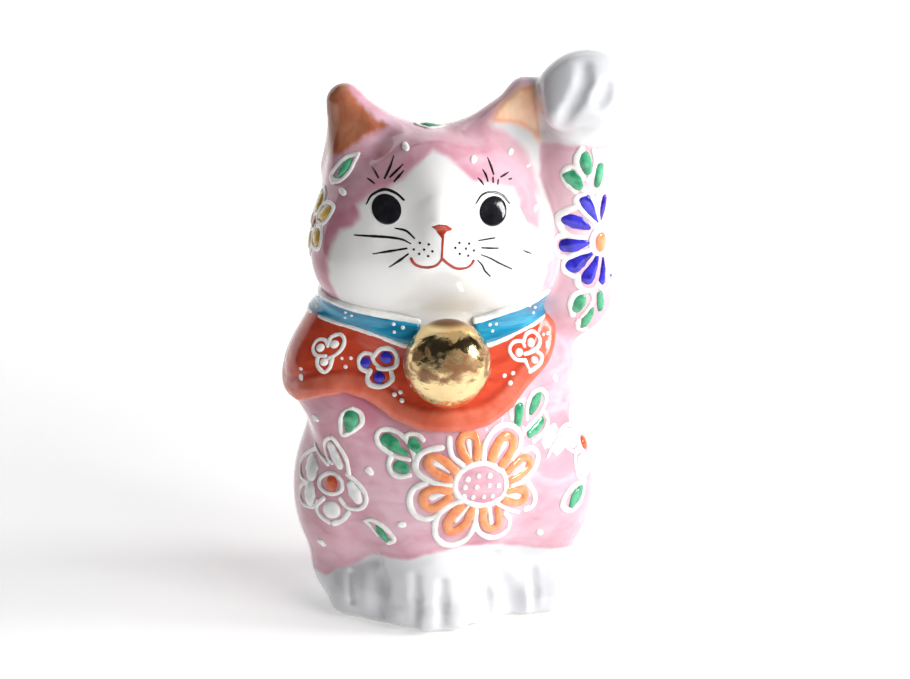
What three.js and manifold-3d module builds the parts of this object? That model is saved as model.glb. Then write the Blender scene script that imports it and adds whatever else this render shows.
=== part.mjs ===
// Beckoning cat figurine: slip-cast, glazed porcelain with raised enamel flowers.
// Millimetres, +Z up. The cat sits on Z = 0 and faces -Y; +X is the cat's own left, the raised paw's side.
// "right" and "left" in the node names are the cat's own.
import * as THREE from "three";
import { mergeVertices } from "three/addons/utils/BufferGeometryUtils.js";
import Module from "manifold-3d";

const wasm = await Module();
wasm.setup();

// Driving dimensions
const WALL = 4; // cast wall thickness
const FRONT_CROWD = 0.35; // how far the facets gather towards the front
const LUTE_GAP = 0.4; // slip joint between two castings
const NECK_Z = 76; // height of the neck joint
const NECK_OPENING_R = 13; // the two hollows meet through the neck
const VENT_R = 8.5; // vent hole under the base
const FOOT_ROUND = 1.6; // wiped edge of the unglazed foot
const RELIEF_GAP = 0.3; // enamel plate above the glaze
const RELIEF_TOP = 1.0; // top of an enamel plate above the glaze
const BIB_TOP = 1.3; // top of the bib above the glaze
const COLLAR_TOP = 1.7; // top of the collar above the glaze
const BELL = { x: 0.8, y: -28.6, z: 65.6, radius: 10.2, flange: 10.6, flangeHeight: 1.6 };
const FACE_X = -0.9; // centre line of the face

const COLOUR = {
  pink: 0xdcaebc,
  white: 0xf4f1ec,
  orange: 0xf0935a,
  red: 0xc4432a,
  turquoise: 0x2f9cbf,
  gold: 0xe2b457,
  green: 0x4fa87a,
  blue: 0x3a36c8,
  yellow: 0xd2a63e,
};

// ---- distance fields -------------------------------------------------------------------------
// Each clay mass is a function of (x, y, z): negative inside, zero on the surface, about millimetres.

function smoothMin(a, b, blend) {
  const h = Math.max(blend - Math.abs(a - b), 0) / blend;
  return Math.min(a, b) - h * h * blend * 0.25;
}

const smoothMax = (a, b, blend) => -smoothMin(-a, -b, blend);

// An ellipsoid at c with semi-axes r, leaning by lean degrees towards +X.
function ball(c, r, lean = 0) {
  const cos = Math.cos(THREE.MathUtils.degToRad(lean));
  const sin = Math.sin(THREE.MathUtils.degToRad(lean));
  return (x, y, z) => {
    const dx = (x - c[0]) * cos - (z - c[2]) * sin;
    const dy = y - c[1];
    const dz = (x - c[0]) * sin + (z - c[2]) * cos;
    const near = Math.hypot(dx / r[0], dy / r[1], dz / r[2]);
    const slope = Math.hypot(dx / r[0] ** 2, dy / r[1] ** 2, dz / r[2] ** 2);
    return (near * (near - 1)) / Math.max(slope, 1e-6);
  };
}

// A limb from a to b, its radius running from ra to rb.
function limb(a, b, ra, rb) {
  const d = b.map((v, i) => v - a[i]);
  const length2 = d[0] ** 2 + d[1] ** 2 + d[2] ** 2;
  return (x, y, z) => {
    const along = ((x - a[0]) * d[0] + (y - a[1]) * d[1] + (z - a[2]) * d[2]) / length2;
    const t = THREE.MathUtils.clamp(along, 0, 1);
    const away = Math.hypot(x - a[0] - t * d[0], y - a[1] - t * d[1], z - a[2] - t * d[2]);
    return away - (ra + (rb - ra) * t);
  };
}

// Masses joined one after another, each with its own blend: [field, blend], or [field, blend, "cut"].
function mould(first, ...rest) {
  return (x, y, z) =>
    rest.reduce(
      (d, [mass, blend, cut]) =>
        cut ? smoothMax(d, -mass(x, y, z), blend) : smoothMin(d, mass(x, y, z), blend),
      first(x, y, z),
    );
}

const hindPawRight = mould(
  limb([-18, -6, 6], [-19, -12, 4.5], 8.5, 7.4),
  [limb([-13.5, -9, 6], [-14, -15.5, 4], 6, 5.2), 2.5],
);
const hindPawLeft = mould(
  limb([18, -8, 7], [14.5, -14.3, 4], 8, 5.6),
  [limb([21, -8, 7], [19.8, -15.4, 4], 7, 5.4), 2],
  [limb([26, -6, 7], [25.4, -13.2, 4], 7, 5.8), 2],
);
const forepaw = mould(
  ball([-1.5, -19.5, 9], [10, 9.5, 11]),
  ...[
    [-8.6, -24, 4.2],
    [-3.7, -27, 4.5],
    [1.9, -26.6, 4.4],
    [6.4, -22.6, 4.2],
  ].map(([x, y, r]) => [limb([x * 0.85 - 0.3, y + 5, 12], [x, y, 3.6], r, r), 2.2]),
);
const torso = mould(
  ball([0, 2, 38], [29, 27, 40]),
  [ball([0, 0, 60], [31, 24, 17]), 8], // chest
  [ball([-1, 0, 71], [28.2, 23, 10]), 5], // neck
  [ball([-23.5, -3, 58], [11.8, 15, 13]), 6], // right shoulder
  [ball([22, 0, 57], [9.5, 14, 12]), 8], // left shoulder
  [ball([3, -12, 36], [20, 20.5, 24]), 8], // belly
  [ball([-20.4, 1, 28], [14.4, 22, 21]), 6], // right haunch
  [ball([23.2, 1, 29.5], [15.2, 22, 23], 2), 6], // left haunch
  [ball([0, 0, 8], [30, 23, 12]), 6], // seat
  [limb([-20, -13, 50], [-4, -20.5, 16], 9.5, 9.5), 6], // right foreleg
  [hindPawRight, 4.5],
  [hindPawLeft, 4.5],
  [forepaw, 6.5],
  [ball([-12.6, -16.6, 6.5], [6.2, 6.4, 10]), 5], // between the paws
  [ball([9.6, -16.8, 6.5], [5.8, 6.6, 9]), 5],
);

const head = mould(
  ball([-0.8, -1, 93], [28.3, 25.5, 23.8]),
  [ball([FACE_X - 12.5, -9.5, 85.5], [15, 14.5, 12]), 9], // cheeks
  [ball([FACE_X + 12.5, -9.5, 85.5], [15, 14.5, 12]), 9],
  [limb([FACE_X, -12.5, 105.5], [FACE_X, -24.7, 100.4], 8.5, 4.2), 10], // brow to nose
  [ball([FACE_X, -21.5, 91.5], [11.5, 7.6, 7.5]), 8], // muzzle
  [ball([FACE_X - 4.4, -25, 92.3], [5.8, 4.6, 5]), 4],
  [ball([FACE_X + 4.4, -25, 92.3], [5.8, 4.6, 5]), 4],
  [ball([FACE_X, -28.2, 99.3], [2.6, 2, 1.8]), 2.5],
  [ball([FACE_X - 9.5, -34.6, 99.5], [6, 6.5, 6.5]), 9, "cut"], // hollows beside the nose
  [ball([FACE_X + 9.5, -34.6, 99.5], [6, 6.5, 6.5]), 9, "cut"],
);

// An ear is a wedge between its tip and two roots, with a ridge down its face and a dish beside it.
function ear(tip, inner, outer, ridge, dish) {
  return mould(
    limb(inner, tip, 8.6, 3.3),
    [limb(outer, tip, 6.8, 3), 4],
    [limb(ridge, tip, 6, 2.8), 3],
    [dish, 3, "cut"],
  );
}
const earRight = ear(
  [-21.5, 0, 122.6],
  [-9.5, -3, 109.6],
  [-20.2, 5, 107.5],
  [-19.5, -2, 108],
  ball([-13.5, -12.6, 115.5], [5, 6, 9], 24),
);
const earLeft = ear(
  [21.2, 0, 123.6],
  [11, -3, 111.2],
  [20, 5, 106],
  [20, -1.5, 108],
  ball([18.5, -11.6, 117.5], [6, 6, 9], -24),
);

const arm = mould(
  limb([32, -2, 77], [32.8, -3, 108], 9.6, 8.2),
  [limb([24, 1, 66], [30.5, -2, 76], 8, 10), 5],
  [ball([35.7, -3.4, 124.4], [10.2, 10.4, 10.2]), 8],
  [limb([26.5, 0, 92], [28.5, 0, 120], 4.5, 4.5), 4],
  ...[
    [28.6, -1.6],
    [33.4, 0.4],
    [38.6, 0.2],
  ].map(([x, z]) => [limb([x, -6, 128.4 + z], [x - 0.6, -10.8, 122.5 + z], 3.6, 3), 5.5]),
);

const grown = (field, by) => (x, y, z) => field(x, y, z) - by;

// ---- from fields to closed meshes ------------------------------------------------------------

// The distance from `from` along the unit vector `dir` at which the field is last crossed.
function reach(field, from, dir, limit = 70) {
  let t = limit;
  for (let i = 0; i < 90; i++) {
    const d = field(from.x + dir.x * t, from.y + dir.y * t, from.z + dir.z * t);
    if (d < 1e-3 || t <= 0) break;
    t -= 0.85 * d;
  }
  return Math.max(t, 0.05);
}

function solidFrom(geometry) {
  const bare = geometry.clone();
  bare.deleteAttribute("normal");
  bare.deleteAttribute("uv");
  const merged = mergeVertices(bare, 1e-3);
  return new wasm.Manifold(
    new wasm.Mesh({
      numProp: 3,
      vertProperties: merged.attributes.position.array,
      triVerts: new Uint32Array(merged.index.array),
    }),
  );
}

// A lathe of flat rings at the given heights, each vertex drawn out level to the field.
// centre(z) is the ring's middle; inset(z) pulls the wall in, for a rounded foot.
function drawRings(field, heights, centre, segments, inset = () => 0) {
  const low = heights[0];
  const high = heights.at(-1);
  const profile = [low, ...heights, high].map(
    (z, i, all) => new THREE.Vector2(i === 0 || i === all.length - 1 ? 0 : 1, z),
  );
  const geometry = new THREE.LatheGeometry(profile, segments);
  geometry.rotateX(Math.PI / 2);
  geometry.scale(1, -1, 1).scale(-1, 1, 1);
  const position = geometry.attributes.position;
  const dir = new THREE.Vector3();
  const from = new THREE.Vector3();
  for (let i = 0; i < position.count; i++) {
    dir.set(position.getX(i), position.getY(i), 0);
    const z = position.getZ(i);
    from.set(centre(z)[0], centre(z)[1], z);
    if (dir.length() < 0.5) {
      position.setXYZ(i, from.x, from.y, z);
      continue;
    }
    // bearings gather towards the front, where the paws and the face are
    const bearing = Math.atan2(dir.x, -dir.y);
    const turned = bearing - FRONT_CROWD * Math.sin(bearing);
    dir.set(Math.sin(turned), -Math.cos(turned), 0);
    const r = Math.max(reach(field, from, dir) - inset(z), 0.3);
    position.setXYZ(i, from.x + dir.x * r, from.y + dir.y * r, z);
  }
  return solidFrom(geometry);
}

// A sphere whose vertices are drawn out from `from` to the field. Its poles lie along Y, so the
// facets gather at the nose.
function drawSphere(field, from, segments) {
  const geometry = new THREE.SphereGeometry(1, segments, Math.round(segments * 0.62));
  const position = geometry.attributes.position;
  const dir = new THREE.Vector3();
  for (let i = 0; i < position.count; i++) {
    dir.fromBufferAttribute(position, i).normalize();
    const r = reach(field, from, dir);
    position.setXYZ(i, from.x + dir.x * r, from.y + dir.y * r, from.z + dir.z * r);
  }
  return solidFrom(geometry);
}

// Ring heights from low to high, closer together towards both ends.
function eased(low, high, count) {
  return Array.from({ length: count + 1 }, (_, i) => {
    const t = 0.5 - 0.5 * Math.cos((Math.PI * i) / count);
    return low + (high - low) * t;
  });
}

const spaced = (low, high, count) =>
  Array.from({ length: count + 1 }, (_, i) => low + ((high - low) * i) / count);

// A polyline of [z, x, y] read at a height.
function spine(...points) {
  return (z) => {
    const k = Math.max(1, points.findIndex((p) => p[0] >= z));
    const i = z >= points.at(-1)[0] ? points.length - 1 : k;
    const t = THREE.MathUtils.clamp((z - points[i - 1][0]) / (points[i][0] - points[i - 1][0]), 0, 1);
    return [1, 2].map((c) => points[i - 1][c] + t * (points[i][c] - points[i - 1][c]));
  };
}

function cylinder(radius, low, high) {
  const geometry = new THREE.CylinderGeometry(radius, radius, high - low, 32);
  geometry.rotateX(Math.PI / 2).translate(0, 0, (low + high) / 2);
  return solidFrom(geometry);
}

function block(low, high) {
  const size = high.map((v, i) => v - low[i]);
  const geometry = new THREE.BoxGeometry(...size);
  geometry.translate(...low.map((v, i) => v + size[i] / 2));
  return solidFrom(geometry);
}

// The biggest body of a cut, without the slivers.
function largest(solid) {
  return solid.decompose().reduce((a, b) => (b.volume() > a.volume() ? b : a));
}

// ---- clay pieces -----------------------------------------------------------------------------

const BODY_RINGS = [0, 0.7, 2.2, ...spaced(5.5, 14, 3), ...spaced(18, 68, 11), 72, NECK_Z];
const BODY_SEGMENTS = 46;
const HEAD_CENTRE = new THREE.Vector3(-1, -1, 94);
const HEAD_SEGMENTS = 36;
const axis = () => [0, 0];
const footInset = (z) => FOOT_ROUND * Math.max(0, 1 - z / FOOT_ROUND) ** 2;

const bodySkin = (by, low = 0) =>
  drawRings(grown(torso, by), [low, ...BODY_RINGS.slice(1)], axis, BODY_SEGMENTS, footInset);
const headSkin = (by) => drawSphere(grown(head, by), HEAD_CENTRE, HEAD_SEGMENTS);
const ARM_SPINE = spine([56, 25, 1], [66, 29, 0], [76, 33, -2], [108, 34, -3], [124, 35.5, -3], [136, 35.5, -5]);
const armSkin = (by) => drawRings(grown(arm, by), eased(56.5 - by, 135 + by, 19), ARM_SPINE, 26);

const below = block([-60, -60, -20], [60, 60, NECK_Z + RELIEF_GAP]);
const bodyHollow = drawRings(grown(torso, -WALL), spaced(WALL + 1, 62, 7), axis, 20)
  .add(cylinder(NECK_OPENING_R, 58, NECK_Z + 5))
  .add(cylinder(VENT_R, -5, 12));
const headHollow = drawSphere(grown(head, -WALL), HEAD_CENTRE, 16).add(
  cylinder(NECK_OPENING_R, 60, 86),
);
const body = bodySkin(0).subtract(bodyHollow);
const headShell = headSkin(0).subtract(below).subtract(headHollow);

const bodyKeep = bodySkin(LUTE_GAP);
const headKeep = headSkin(LUTE_GAP);
const armKeep = armSkin(LUTE_GAP);
const armSolid = largest(armSkin(0).subtract(bodyKeep).subtract(headKeep));

const EAR_RIGHT_SPINE = spine([103, -14, 0.5], [120, -20, 0.8], [126, -21.5, 0]);
const EAR_LEFT_SPINE = spine([103, 14, 0.5], [121, 19.5, 0.8], [127, 21.2, 0]);
const earSolid = (field, top, line) =>
  largest(drawRings(field, eased(103, top, 9), line, 18).subtract(headKeep).subtract(armKeep));

// The bell is a ball with a thin rim round its middle, luted to the chest.
function bellProfile(by) {
  const r = BELL.radius + by;
  const rim = BELL.flange + by;
  const half = BELL.flangeHeight / 2 + by;
  const start = Math.asin(half / r);
  const points = [new THREE.Vector2(0, -r)];
  for (let i = 1; i < 9; i++) {
    const a = -Math.PI / 2 + (i / 8) * (Math.PI / 2 - start);
    points.push(new THREE.Vector2(Math.cos(a) * r, Math.sin(a) * r));
  }
  points.push(new THREE.Vector2(rim, -half * 0.6), new THREE.Vector2(rim, half * 0.6));
  for (let i = 8; i > 0; i--) {
    const a = Math.PI / 2 - (i / 8) * (Math.PI / 2 - start);
    points.push(new THREE.Vector2(Math.cos(a) * r, Math.sin(a) * r));
  }
  points.push(new THREE.Vector2(0, r));
  return points;
}
function bellSkin(by) {
  const geometry = new THREE.LatheGeometry(bellProfile(by), 26);
  geometry.rotateX(Math.PI / 2).translate(BELL.x, BELL.y, BELL.z);
  return solidFrom(geometry);
}
const bell = largest(bellSkin(0).subtract(bodyKeep).subtract(headKeep));
const bellKeep = bellSkin(RELIEF_GAP);

// The tail lies curled against the back: three short limbs end to end.
const TAIL = [
  [-2, 25.5, 8],
  [8, 27.5, 9],
  [14.5, 24.5, 15],
  [15, 22.5, 23],
];
function capsule(a, b, radius) {
  const from = new THREE.Vector3(...a);
  const to = new THREE.Vector3(...b);
  const along = to.clone().sub(from);
  const geometry = new THREE.CapsuleGeometry(radius, along.length(), 3, 10);
  const turn = new THREE.Quaternion().setFromUnitVectors(new THREE.Vector3(0, 1, 0), along.normalize());
  geometry.applyQuaternion(turn);
  geometry.translate(...from.add(to).multiplyScalar(0.5).toArray());
  return solidFrom(geometry);
}
const tail = largest(
  [0, 1, 2]
    .map((i) => capsule(TAIL[i], TAIL[i + 1], 5.6 - 0.4 * i))
    .reduce((a, b) => a.add(b))
    .subtract(bodyKeep),
);

// ---- relief on the clay ----------------------------------------------------------------------

// A closed outline in X and Z, extruded along Y.
function curtain(points, nearY, farY) {
  const shape = new THREE.Shape(points.map(([x, z]) => new THREE.Vector2(x, z)));
  const geometry = new THREE.ExtrudeGeometry(shape, { depth: farY - nearY, bevelEnabled: false });
  geometry.rotateX(Math.PI / 2).translate(0, farY, 0);
  return solidFrom(geometry);
}

const BIB_HEM = [
  [-33, 51.2],
  [-27.5, 53.8],
  [-23, 56],
  [-18.4, 55.6],
  [-12, 52],
  [-6.5, 49.8],
  [-1, 49.2],
  [4.5, 49.5],
  [10.2, 51],
  [16, 54.6],
  [20.4, 59.8],
  [25, 64.6],
  [27, 69.2],
];
const COLLAR_LOW = 70.9; // height of the collar's lower edge over the body's axis
const COLLAR_WIDTH = 5;
const COLLAR_TILT = 6.7; // degrees: the collar hangs lower in front, under the bell
const bibOutline = [[-44, 50], ...BIB_HEM, [27, NECK_Z], [-44, NECK_Z]];

// A level slab from low to high, tipped forwards about the body's X axis.
function tipped(low, high) {
  const geometry = new THREE.BoxGeometry(120, 120, high - low);
  geometry.translate(0, 0, (high - low) / 2);
  geometry.rotateX(THREE.MathUtils.degToRad(COLLAR_TILT)).translate(0, 0, low);
  return solidFrom(geometry);
}
const aboveBib = tipped(COLLAR_LOW - RELIEF_GAP, NECK_Z + 40);
const armClear = armSkin(LUTE_GAP + 0.2);
const bib = largest(
  bodySkin(BIB_TOP, 2)
    .subtract(bodySkin(RELIEF_GAP, 1.5))
    .intersect(curtain(bibOutline, -60, 7))
    .subtract(aboveBib)
    .subtract(armClear)
    .subtract(bellKeep),
);
const bust = mould(torso, [head, 3]);
const collar = largest(
  drawRings(grown(bust, COLLAR_TOP), spaced(62, 84, 12), axis, BODY_SEGMENTS)
    .subtract(bodySkin(RELIEF_GAP, 1.5))
    .subtract(headSkin(RELIEF_GAP))
    .intersect(tipped(COLLAR_LOW, COLLAR_LOW + COLLAR_WIDTH))
    .subtract(armClear)
    .subtract(bellKeep),
);

// The layers that the enamel plates are cut from, each a thin skin just above its clay.
const bibClear = curtain(bibOutline.map(([x, z]) => [x, z - RELIEF_GAP]), -60, 7.3);
const layerOver = (skin, low, high) => skin(high, 2).subtract(skin(low, 1.5));
const earsClear = drawRings(grown(earRight, LUTE_GAP), eased(102, 126.2, 12), EAR_RIGHT_SPINE, 22).add(
  drawRings(grown(earLeft, LUTE_GAP), eased(102, 127.2, 12), EAR_LEFT_SPINE, 22),
);
const LAYERS = {
  body: {
    field: torso,
    skin: layerOver(bodySkin, RELIEF_GAP, RELIEF_TOP).subtract(bibClear).subtract(armClear),
  },
  bib: {
    field: torso,
    skin: layerOver(bodySkin, BIB_TOP + RELIEF_GAP, BIB_TOP + RELIEF_GAP + 0.6).subtract(aboveBib),
  },
  head: { field: head, skin: layerOver(headSkin, RELIEF_GAP, RELIEF_TOP).subtract(earsClear) },
  arm: {
    field: arm,
    skin: layerOver(armSkin, RELIEF_GAP, RELIEF_TOP)
      .subtract(bodySkin(BIB_TOP + RELIEF_GAP))
      .subtract(headSkin(LUTE_GAP)),
  },
};

// Outlines of the enamel work, about their own middle: u to the right, v up.
function blossom(petals, radius, notch, turn = 0, squash = 1) {
  const steps = petals * 4;
  const points = Array.from({ length: steps }, (_, i) => {
    const a = (2 * Math.PI * i) / steps;
    const lobe = Math.abs(Math.cos((petals * (a - turn)) / 2));
    const r = radius * (1 - notch + notch * Math.sqrt(lobe));
    return new THREE.Vector2(Math.cos(a) * r, Math.sin(a) * r * squash);
  });
  return new THREE.Shape(points);
}
function leaf(length, width, turn = 0) {
  const points = Array.from({ length: 14 }, (_, i) => {
    const a = (2 * Math.PI * i) / 14;
    const taper = 1 - 0.25 * Math.cos(a);
    const u = (Math.cos(a) * length) / 2;
    const v = (Math.sin(a) * taper * width) / 2;
    return new THREE.Vector2(u * Math.cos(turn) - v * Math.sin(turn), u * Math.sin(turn) + v * Math.cos(turn));
  });
  return new THREE.Shape(points);
}

// The outward normal of a field at a point.
function outward(field, p) {
  const e = 0.2;
  return new THREE.Vector3(
    field(p.x + e, p.y, p.z) - field(p.x - e, p.y, p.z),
    field(p.x, p.y + e, p.z) - field(p.x, p.y - e, p.z),
    field(p.x, p.y, p.z + e) - field(p.x, p.y, p.z - e),
  ).normalize();
}

// The point of a field's surface nearest to p, by a few steps along the normal.
function onto(field, p) {
  const q = p.clone();
  for (let i = 0; i < 8; i++) q.addScaledVector(outward(field, q), -field(q.x, q.y, q.z));
  return q;
}

// One enamel plate: its outline, square to the surface, pushed through the layer.
function plate({ field, skin }, point, shape) {
  const p = onto(field, new THREE.Vector3(...point));
  const normal = outward(field, p);
  const level = Math.abs(normal.z) > 0.95;
  const right = level ? new THREE.Vector3(1, 0, 0) : new THREE.Vector3(0, 0, 1).cross(normal);
  const up = normal.clone().cross(right).normalize();
  right.crossVectors(up, normal);
  const geometry = new THREE.ExtrudeGeometry(shape, { depth: 14, bevelEnabled: false });
  geometry.translate(0, 0, -7);
  geometry.applyMatrix4(new THREE.Matrix4().makeBasis(right, up, normal).setPosition(p));
  return largest(skin.intersect(solidFrom(geometry)));
}

const UP = Math.PI / 2;
// name, layer, a point near its middle, outline, colour
const ORNAMENTS = [
  ["flower_front", "body", [7.4, -33, 36.2], blossom(8, 13.8, 0.18, 0.26), "orange"],
  ["sprig_right", "body", [-11.6, -27.2, 44.6], blossom(4, 5.4, 0.3, 0.6), "green"],
  ["sprig_left", "body", [20.5, -19.5, 49.4], blossom(3, 5.8, 0.35, UP), "green"],
  ["leaf_chest", "body", [-21.7, -22.6, 50.4], leaf(7.4, 5.2, UP), "green"],
  ["leaf_foreleg", "body", [-15, -26, 24.5], leaf(8, 4.4, -0.7), "green"],
  ["leaf_haunch", "body", [31.9, -17.1, 29.4], leaf(8, 5, 1.3), "green"],
  ["flower_haunch_right", "body", [-26.2, -18.7, 34.6], blossom(6, 9.6, 0.22, UP), "white"],
  ["flower_haunch_left", "body", [35.4, -8.8, 40.4], blossom(5, 9.2, 0.2, UP), "white"],
  ["flower_back", "body", [0, 29, 40], blossom(8, 13, 0.2), "orange"],
  ["leaf_back_right", "body", [-17, 22, 54], leaf(9, 5.4, 0.9), "green"],
  ["leaf_back_left", "body", [17, 22, 54], leaf(9, 5.4, -0.9), "green"],
  ["trefoil_blue", "bib", [-15.2, -20.7, 63.6], blossom(3, 4.1, 0.35, 0.2), "blue"],
  ["trefoil_right", "bib", [-27, -15.2, 64.4], blossom(3, 4.3, 0.35, -UP), "white"],
  ["trefoil_left", "bib", [20.4, -17.3, 65], blossom(3, 4.1, 0.35, UP), "white"],
  ["leaf_brow", "head", [-23.6, -10, 104.6], leaf(7.6, 4.6, 0.9), "green"],
  ["leaf_crown", "head", [-1.8, -5.2, 117], leaf(7.5, 3.8), "green"],
  ["flower_temple", "head", [-28.8, -6, 94.6], blossom(6, 7.6, 0.25, UP), "yellow"],
  ["flower_nape", "head", [-1, 21, 105.5], blossom(6, 8, 0.25, UP), "yellow"],
  ["flower_arm", "arm", [38.6, -8.9, 90.1], blossom(10, 8.8, 0.16), "blue"],
  ["sprig_arm_upper", "arm", [34.6, -11, 105.8], blossom(3, 5.4, 0.35, UP), "green"],
  ["sprig_arm_lower", "arm", [35.6, -11.6, 74.6], blossom(3, 5, 0.35, -UP), "green"],
];

// ---- the figurine ----------------------------------------------------------------------------

const figurine = new THREE.Group();
function piece(name, solid, colour, roughness = 0.16, metalness = 0) {
  const data = solid.getMesh();
  const positions = new Float32Array(data.numVert * 3);
  for (let i = 0; i < data.numVert; i++) {
    positions.set(data.vertProperties.subarray(i * data.numProp, i * data.numProp + 3), i * 3);
  }
  const geometry = new THREE.BufferGeometry();
  geometry.setAttribute("position", new THREE.BufferAttribute(positions, 3));
  geometry.setIndex(new THREE.BufferAttribute(data.triVerts, 1));
  geometry.computeVertexNormals();
  const material = new THREE.MeshStandardMaterial({ color: COLOUR[colour], roughness, metalness });
  const mesh = new THREE.Mesh(geometry, material);
  mesh.name = name;
  figurine.add(mesh);
}

piece("body_casting", body, "pink");
piece("head_casting", headShell, "white");
piece("ear_right", earSolid(earRight, 125.8, EAR_RIGHT_SPINE), "pink");
piece("ear_left", earSolid(earLeft, 126.8, EAR_LEFT_SPINE), "pink");
piece("raised_arm", armSolid, "pink");
piece("tail", tail, "pink");
piece("bell", bell, "gold", 0.14, 1);
piece("collar", collar, "turquoise");
piece("bib", bib, "red");
for (const [name, layer, point, shape, colour] of ORNAMENTS) {
  piece(name, plate(LAYERS[layer], point, shape), colour);
}

// The group stands on the middle of its own box's underside.
const box = new THREE.Box3().setFromObject(figurine);
figurine.position.set(-(box.min.x + box.max.x) / 2, -(box.min.y + box.max.y) / 2, 0);

export default figurine;
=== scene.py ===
# Beckoning cat: slip-cast glazed porcelain, pink wash, gold lustre bell and raised enamel flowers.
import math

import bmesh
import bpy
import numpy as np
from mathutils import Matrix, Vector
from mathutils.bvhtree import BVHTree


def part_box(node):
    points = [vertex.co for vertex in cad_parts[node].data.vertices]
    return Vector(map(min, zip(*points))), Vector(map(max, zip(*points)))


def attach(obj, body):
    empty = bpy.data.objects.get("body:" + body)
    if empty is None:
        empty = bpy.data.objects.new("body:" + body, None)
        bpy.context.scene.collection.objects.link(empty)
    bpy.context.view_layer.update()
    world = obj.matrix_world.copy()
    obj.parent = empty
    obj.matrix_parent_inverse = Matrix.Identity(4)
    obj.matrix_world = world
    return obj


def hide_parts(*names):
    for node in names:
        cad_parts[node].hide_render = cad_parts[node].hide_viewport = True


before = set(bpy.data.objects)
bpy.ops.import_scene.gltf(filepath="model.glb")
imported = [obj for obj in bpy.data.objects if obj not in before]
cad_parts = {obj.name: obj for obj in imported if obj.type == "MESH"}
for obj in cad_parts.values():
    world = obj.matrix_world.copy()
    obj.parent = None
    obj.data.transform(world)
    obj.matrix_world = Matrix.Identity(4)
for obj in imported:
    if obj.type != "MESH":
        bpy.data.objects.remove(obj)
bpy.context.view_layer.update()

MM = 0.001
# Everything below is worked out in millimetres in the cat's own frame, whose Z axis runs up the middle
# of the body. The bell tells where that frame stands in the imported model.
BELL = {"x": 0.8, "y": -28.6, "z": 65.6, "radius": 10.2, "rim": 10.6}
bell_low, bell_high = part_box("bell")
SHIFT = np.array(
    [
        (bell_low.x + bell_high.x) / 2 / MM - BELL["x"],
        bell_low.y / MM - (BELL["y"] - BELL["rim"]),
        0.0,
    ]
)
STEP = 0.62  # spacing of the clay's mesh, mm
FACE_X = -0.9  # centre line of the face


# ---- distance fields: negative inside, zero on the surface, about millimetres -----------------

def smooth_min(a, b, blend):
    h = np.maximum(blend - np.abs(a - b), 0) / blend
    return np.minimum(a, b) - h * h * blend * 0.25


def smooth_max(a, b, blend):
    return -smooth_min(-a, -b, blend)


def ball(c, r, lean=0.0):
    """An ellipsoid at c with semi-axes r, leaning by lean degrees towards +X."""
    cos, sin = math.cos(math.radians(lean)), math.sin(math.radians(lean))

    def field(x, y, z):
        px, dy, pz = x - c[0], y - c[1], z - c[2]
        dx, dz = (px * cos - pz * sin, px * sin + pz * cos) if lean else (px, pz)
        a, b, d = dx / r[0], dy / r[1], dz / r[2]
        near = np.sqrt(a * a + b * b + d * d)
        a, b, d = a / r[0], b / r[1], d / r[2]
        return near * (near - 1) / np.maximum(np.sqrt(a * a + b * b + d * d), 1e-6)

    return field


def limb(a, b, ra, rb):
    """A rounded limb from a to b, its radius running from ra to rb."""
    d = [b[i] - a[i] for i in range(3)]
    length2 = sum(v * v for v in d)

    def field(x, y, z):
        px, py, pz = x - a[0], y - a[1], z - a[2]
        t = np.clip((px * d[0] + py * d[1] + pz * d[2]) / length2, 0, 1)
        qx, qy, qz = px - t * d[0], py - t * d[1], pz - t * d[2]
        return np.sqrt(qx * qx + qy * qy + qz * qz) - (ra + (rb - ra) * t)

    return field


def mould(first, *rest):
    """Masses joined one after another: (field, blend) adds one, (field, blend, "cut") takes it away."""

    def field(x, y, z):
        d = first(x, y, z)
        for mass, blend, *cut in rest:
            d = smooth_max(d, -mass(x, y, z), blend) if cut else smooth_min(d, mass(x, y, z), blend)
        return d

    return field


def groove(courses):
    """Soft channels pressed along courses: each a radius, a blend and the points it runs through."""
    cuts = []
    for radius, blend, *points in courses:
        cuts += [(limb(a, b, radius, radius), blend, "cut") for a, b in zip(points, points[1:])]
    return cuts


PAW_GROOVES = (
    (0.3, 3.2, (33.9, -11.6, 132.1), (33.7, -13.7, 129.1), (31.9, -15.1, 125.6)),
    (0.25, 3.2, (31.9, -15.3, 125.6), (30.1, -15.5, 122.4), (28.6, -14, 118.4)),
    (0.35, 3.2, (39.3, -13.6, 128.1), (38.5, -14.8, 126), (37.3, -15.5, 124.5)),
)
FOOT_GROOVES = (
    (0.35, 2.3, (-7.1, -30.1, 14), (-7, -29.8, 9), (-7.1, -30, 2.5)),
    (0.35, 2.3, (-0.6, -30.5, 12.5), (-0.6, -30.4, 8), (-0.7, -31, 3)),
    (0.9, 3.6, (12.9, -21.9, 15), (14.4, -22.1, 10.7), (16.3, -21.6, 5.8), (17.8, -20.4, 2)),
    (0.4, 2.2, (22.1, -17.1, 11), (22.2, -19.6, 6.8), (22.2, -19.9, 2)),
    (0.5, 2.8, (10.0, -24.3, 14), (10.4, -25.2, 9), (10.8, -25.5, 3)),
    (0.6, 4.4, (-16.2, -22.2, 15.5), (-15.6, -24, 11), (-15.8, -24, 4)),
    (0.3, 1.8, (-22.2, -17.6, 11), (-21.8, -19.3, 5)),
)
hind_paw_right = mould(
    limb((-18, -6, 6), (-19, -12, 4.5), 8.5, 7.4),
    (limb((-13.5, -9, 6), (-14, -15.5, 4), 6, 5.2), 2.5),
)
hind_paw_left = mould(
    limb((18, -8, 7), (14.5, -14.3, 4), 8, 5.6),
    (limb((21, -8, 7), (19.8, -15.4, 4), 7, 5.4), 2),
    (limb((26, -6, 7), (25.4, -13.2, 4), 7, 5.8), 2),
)
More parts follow.
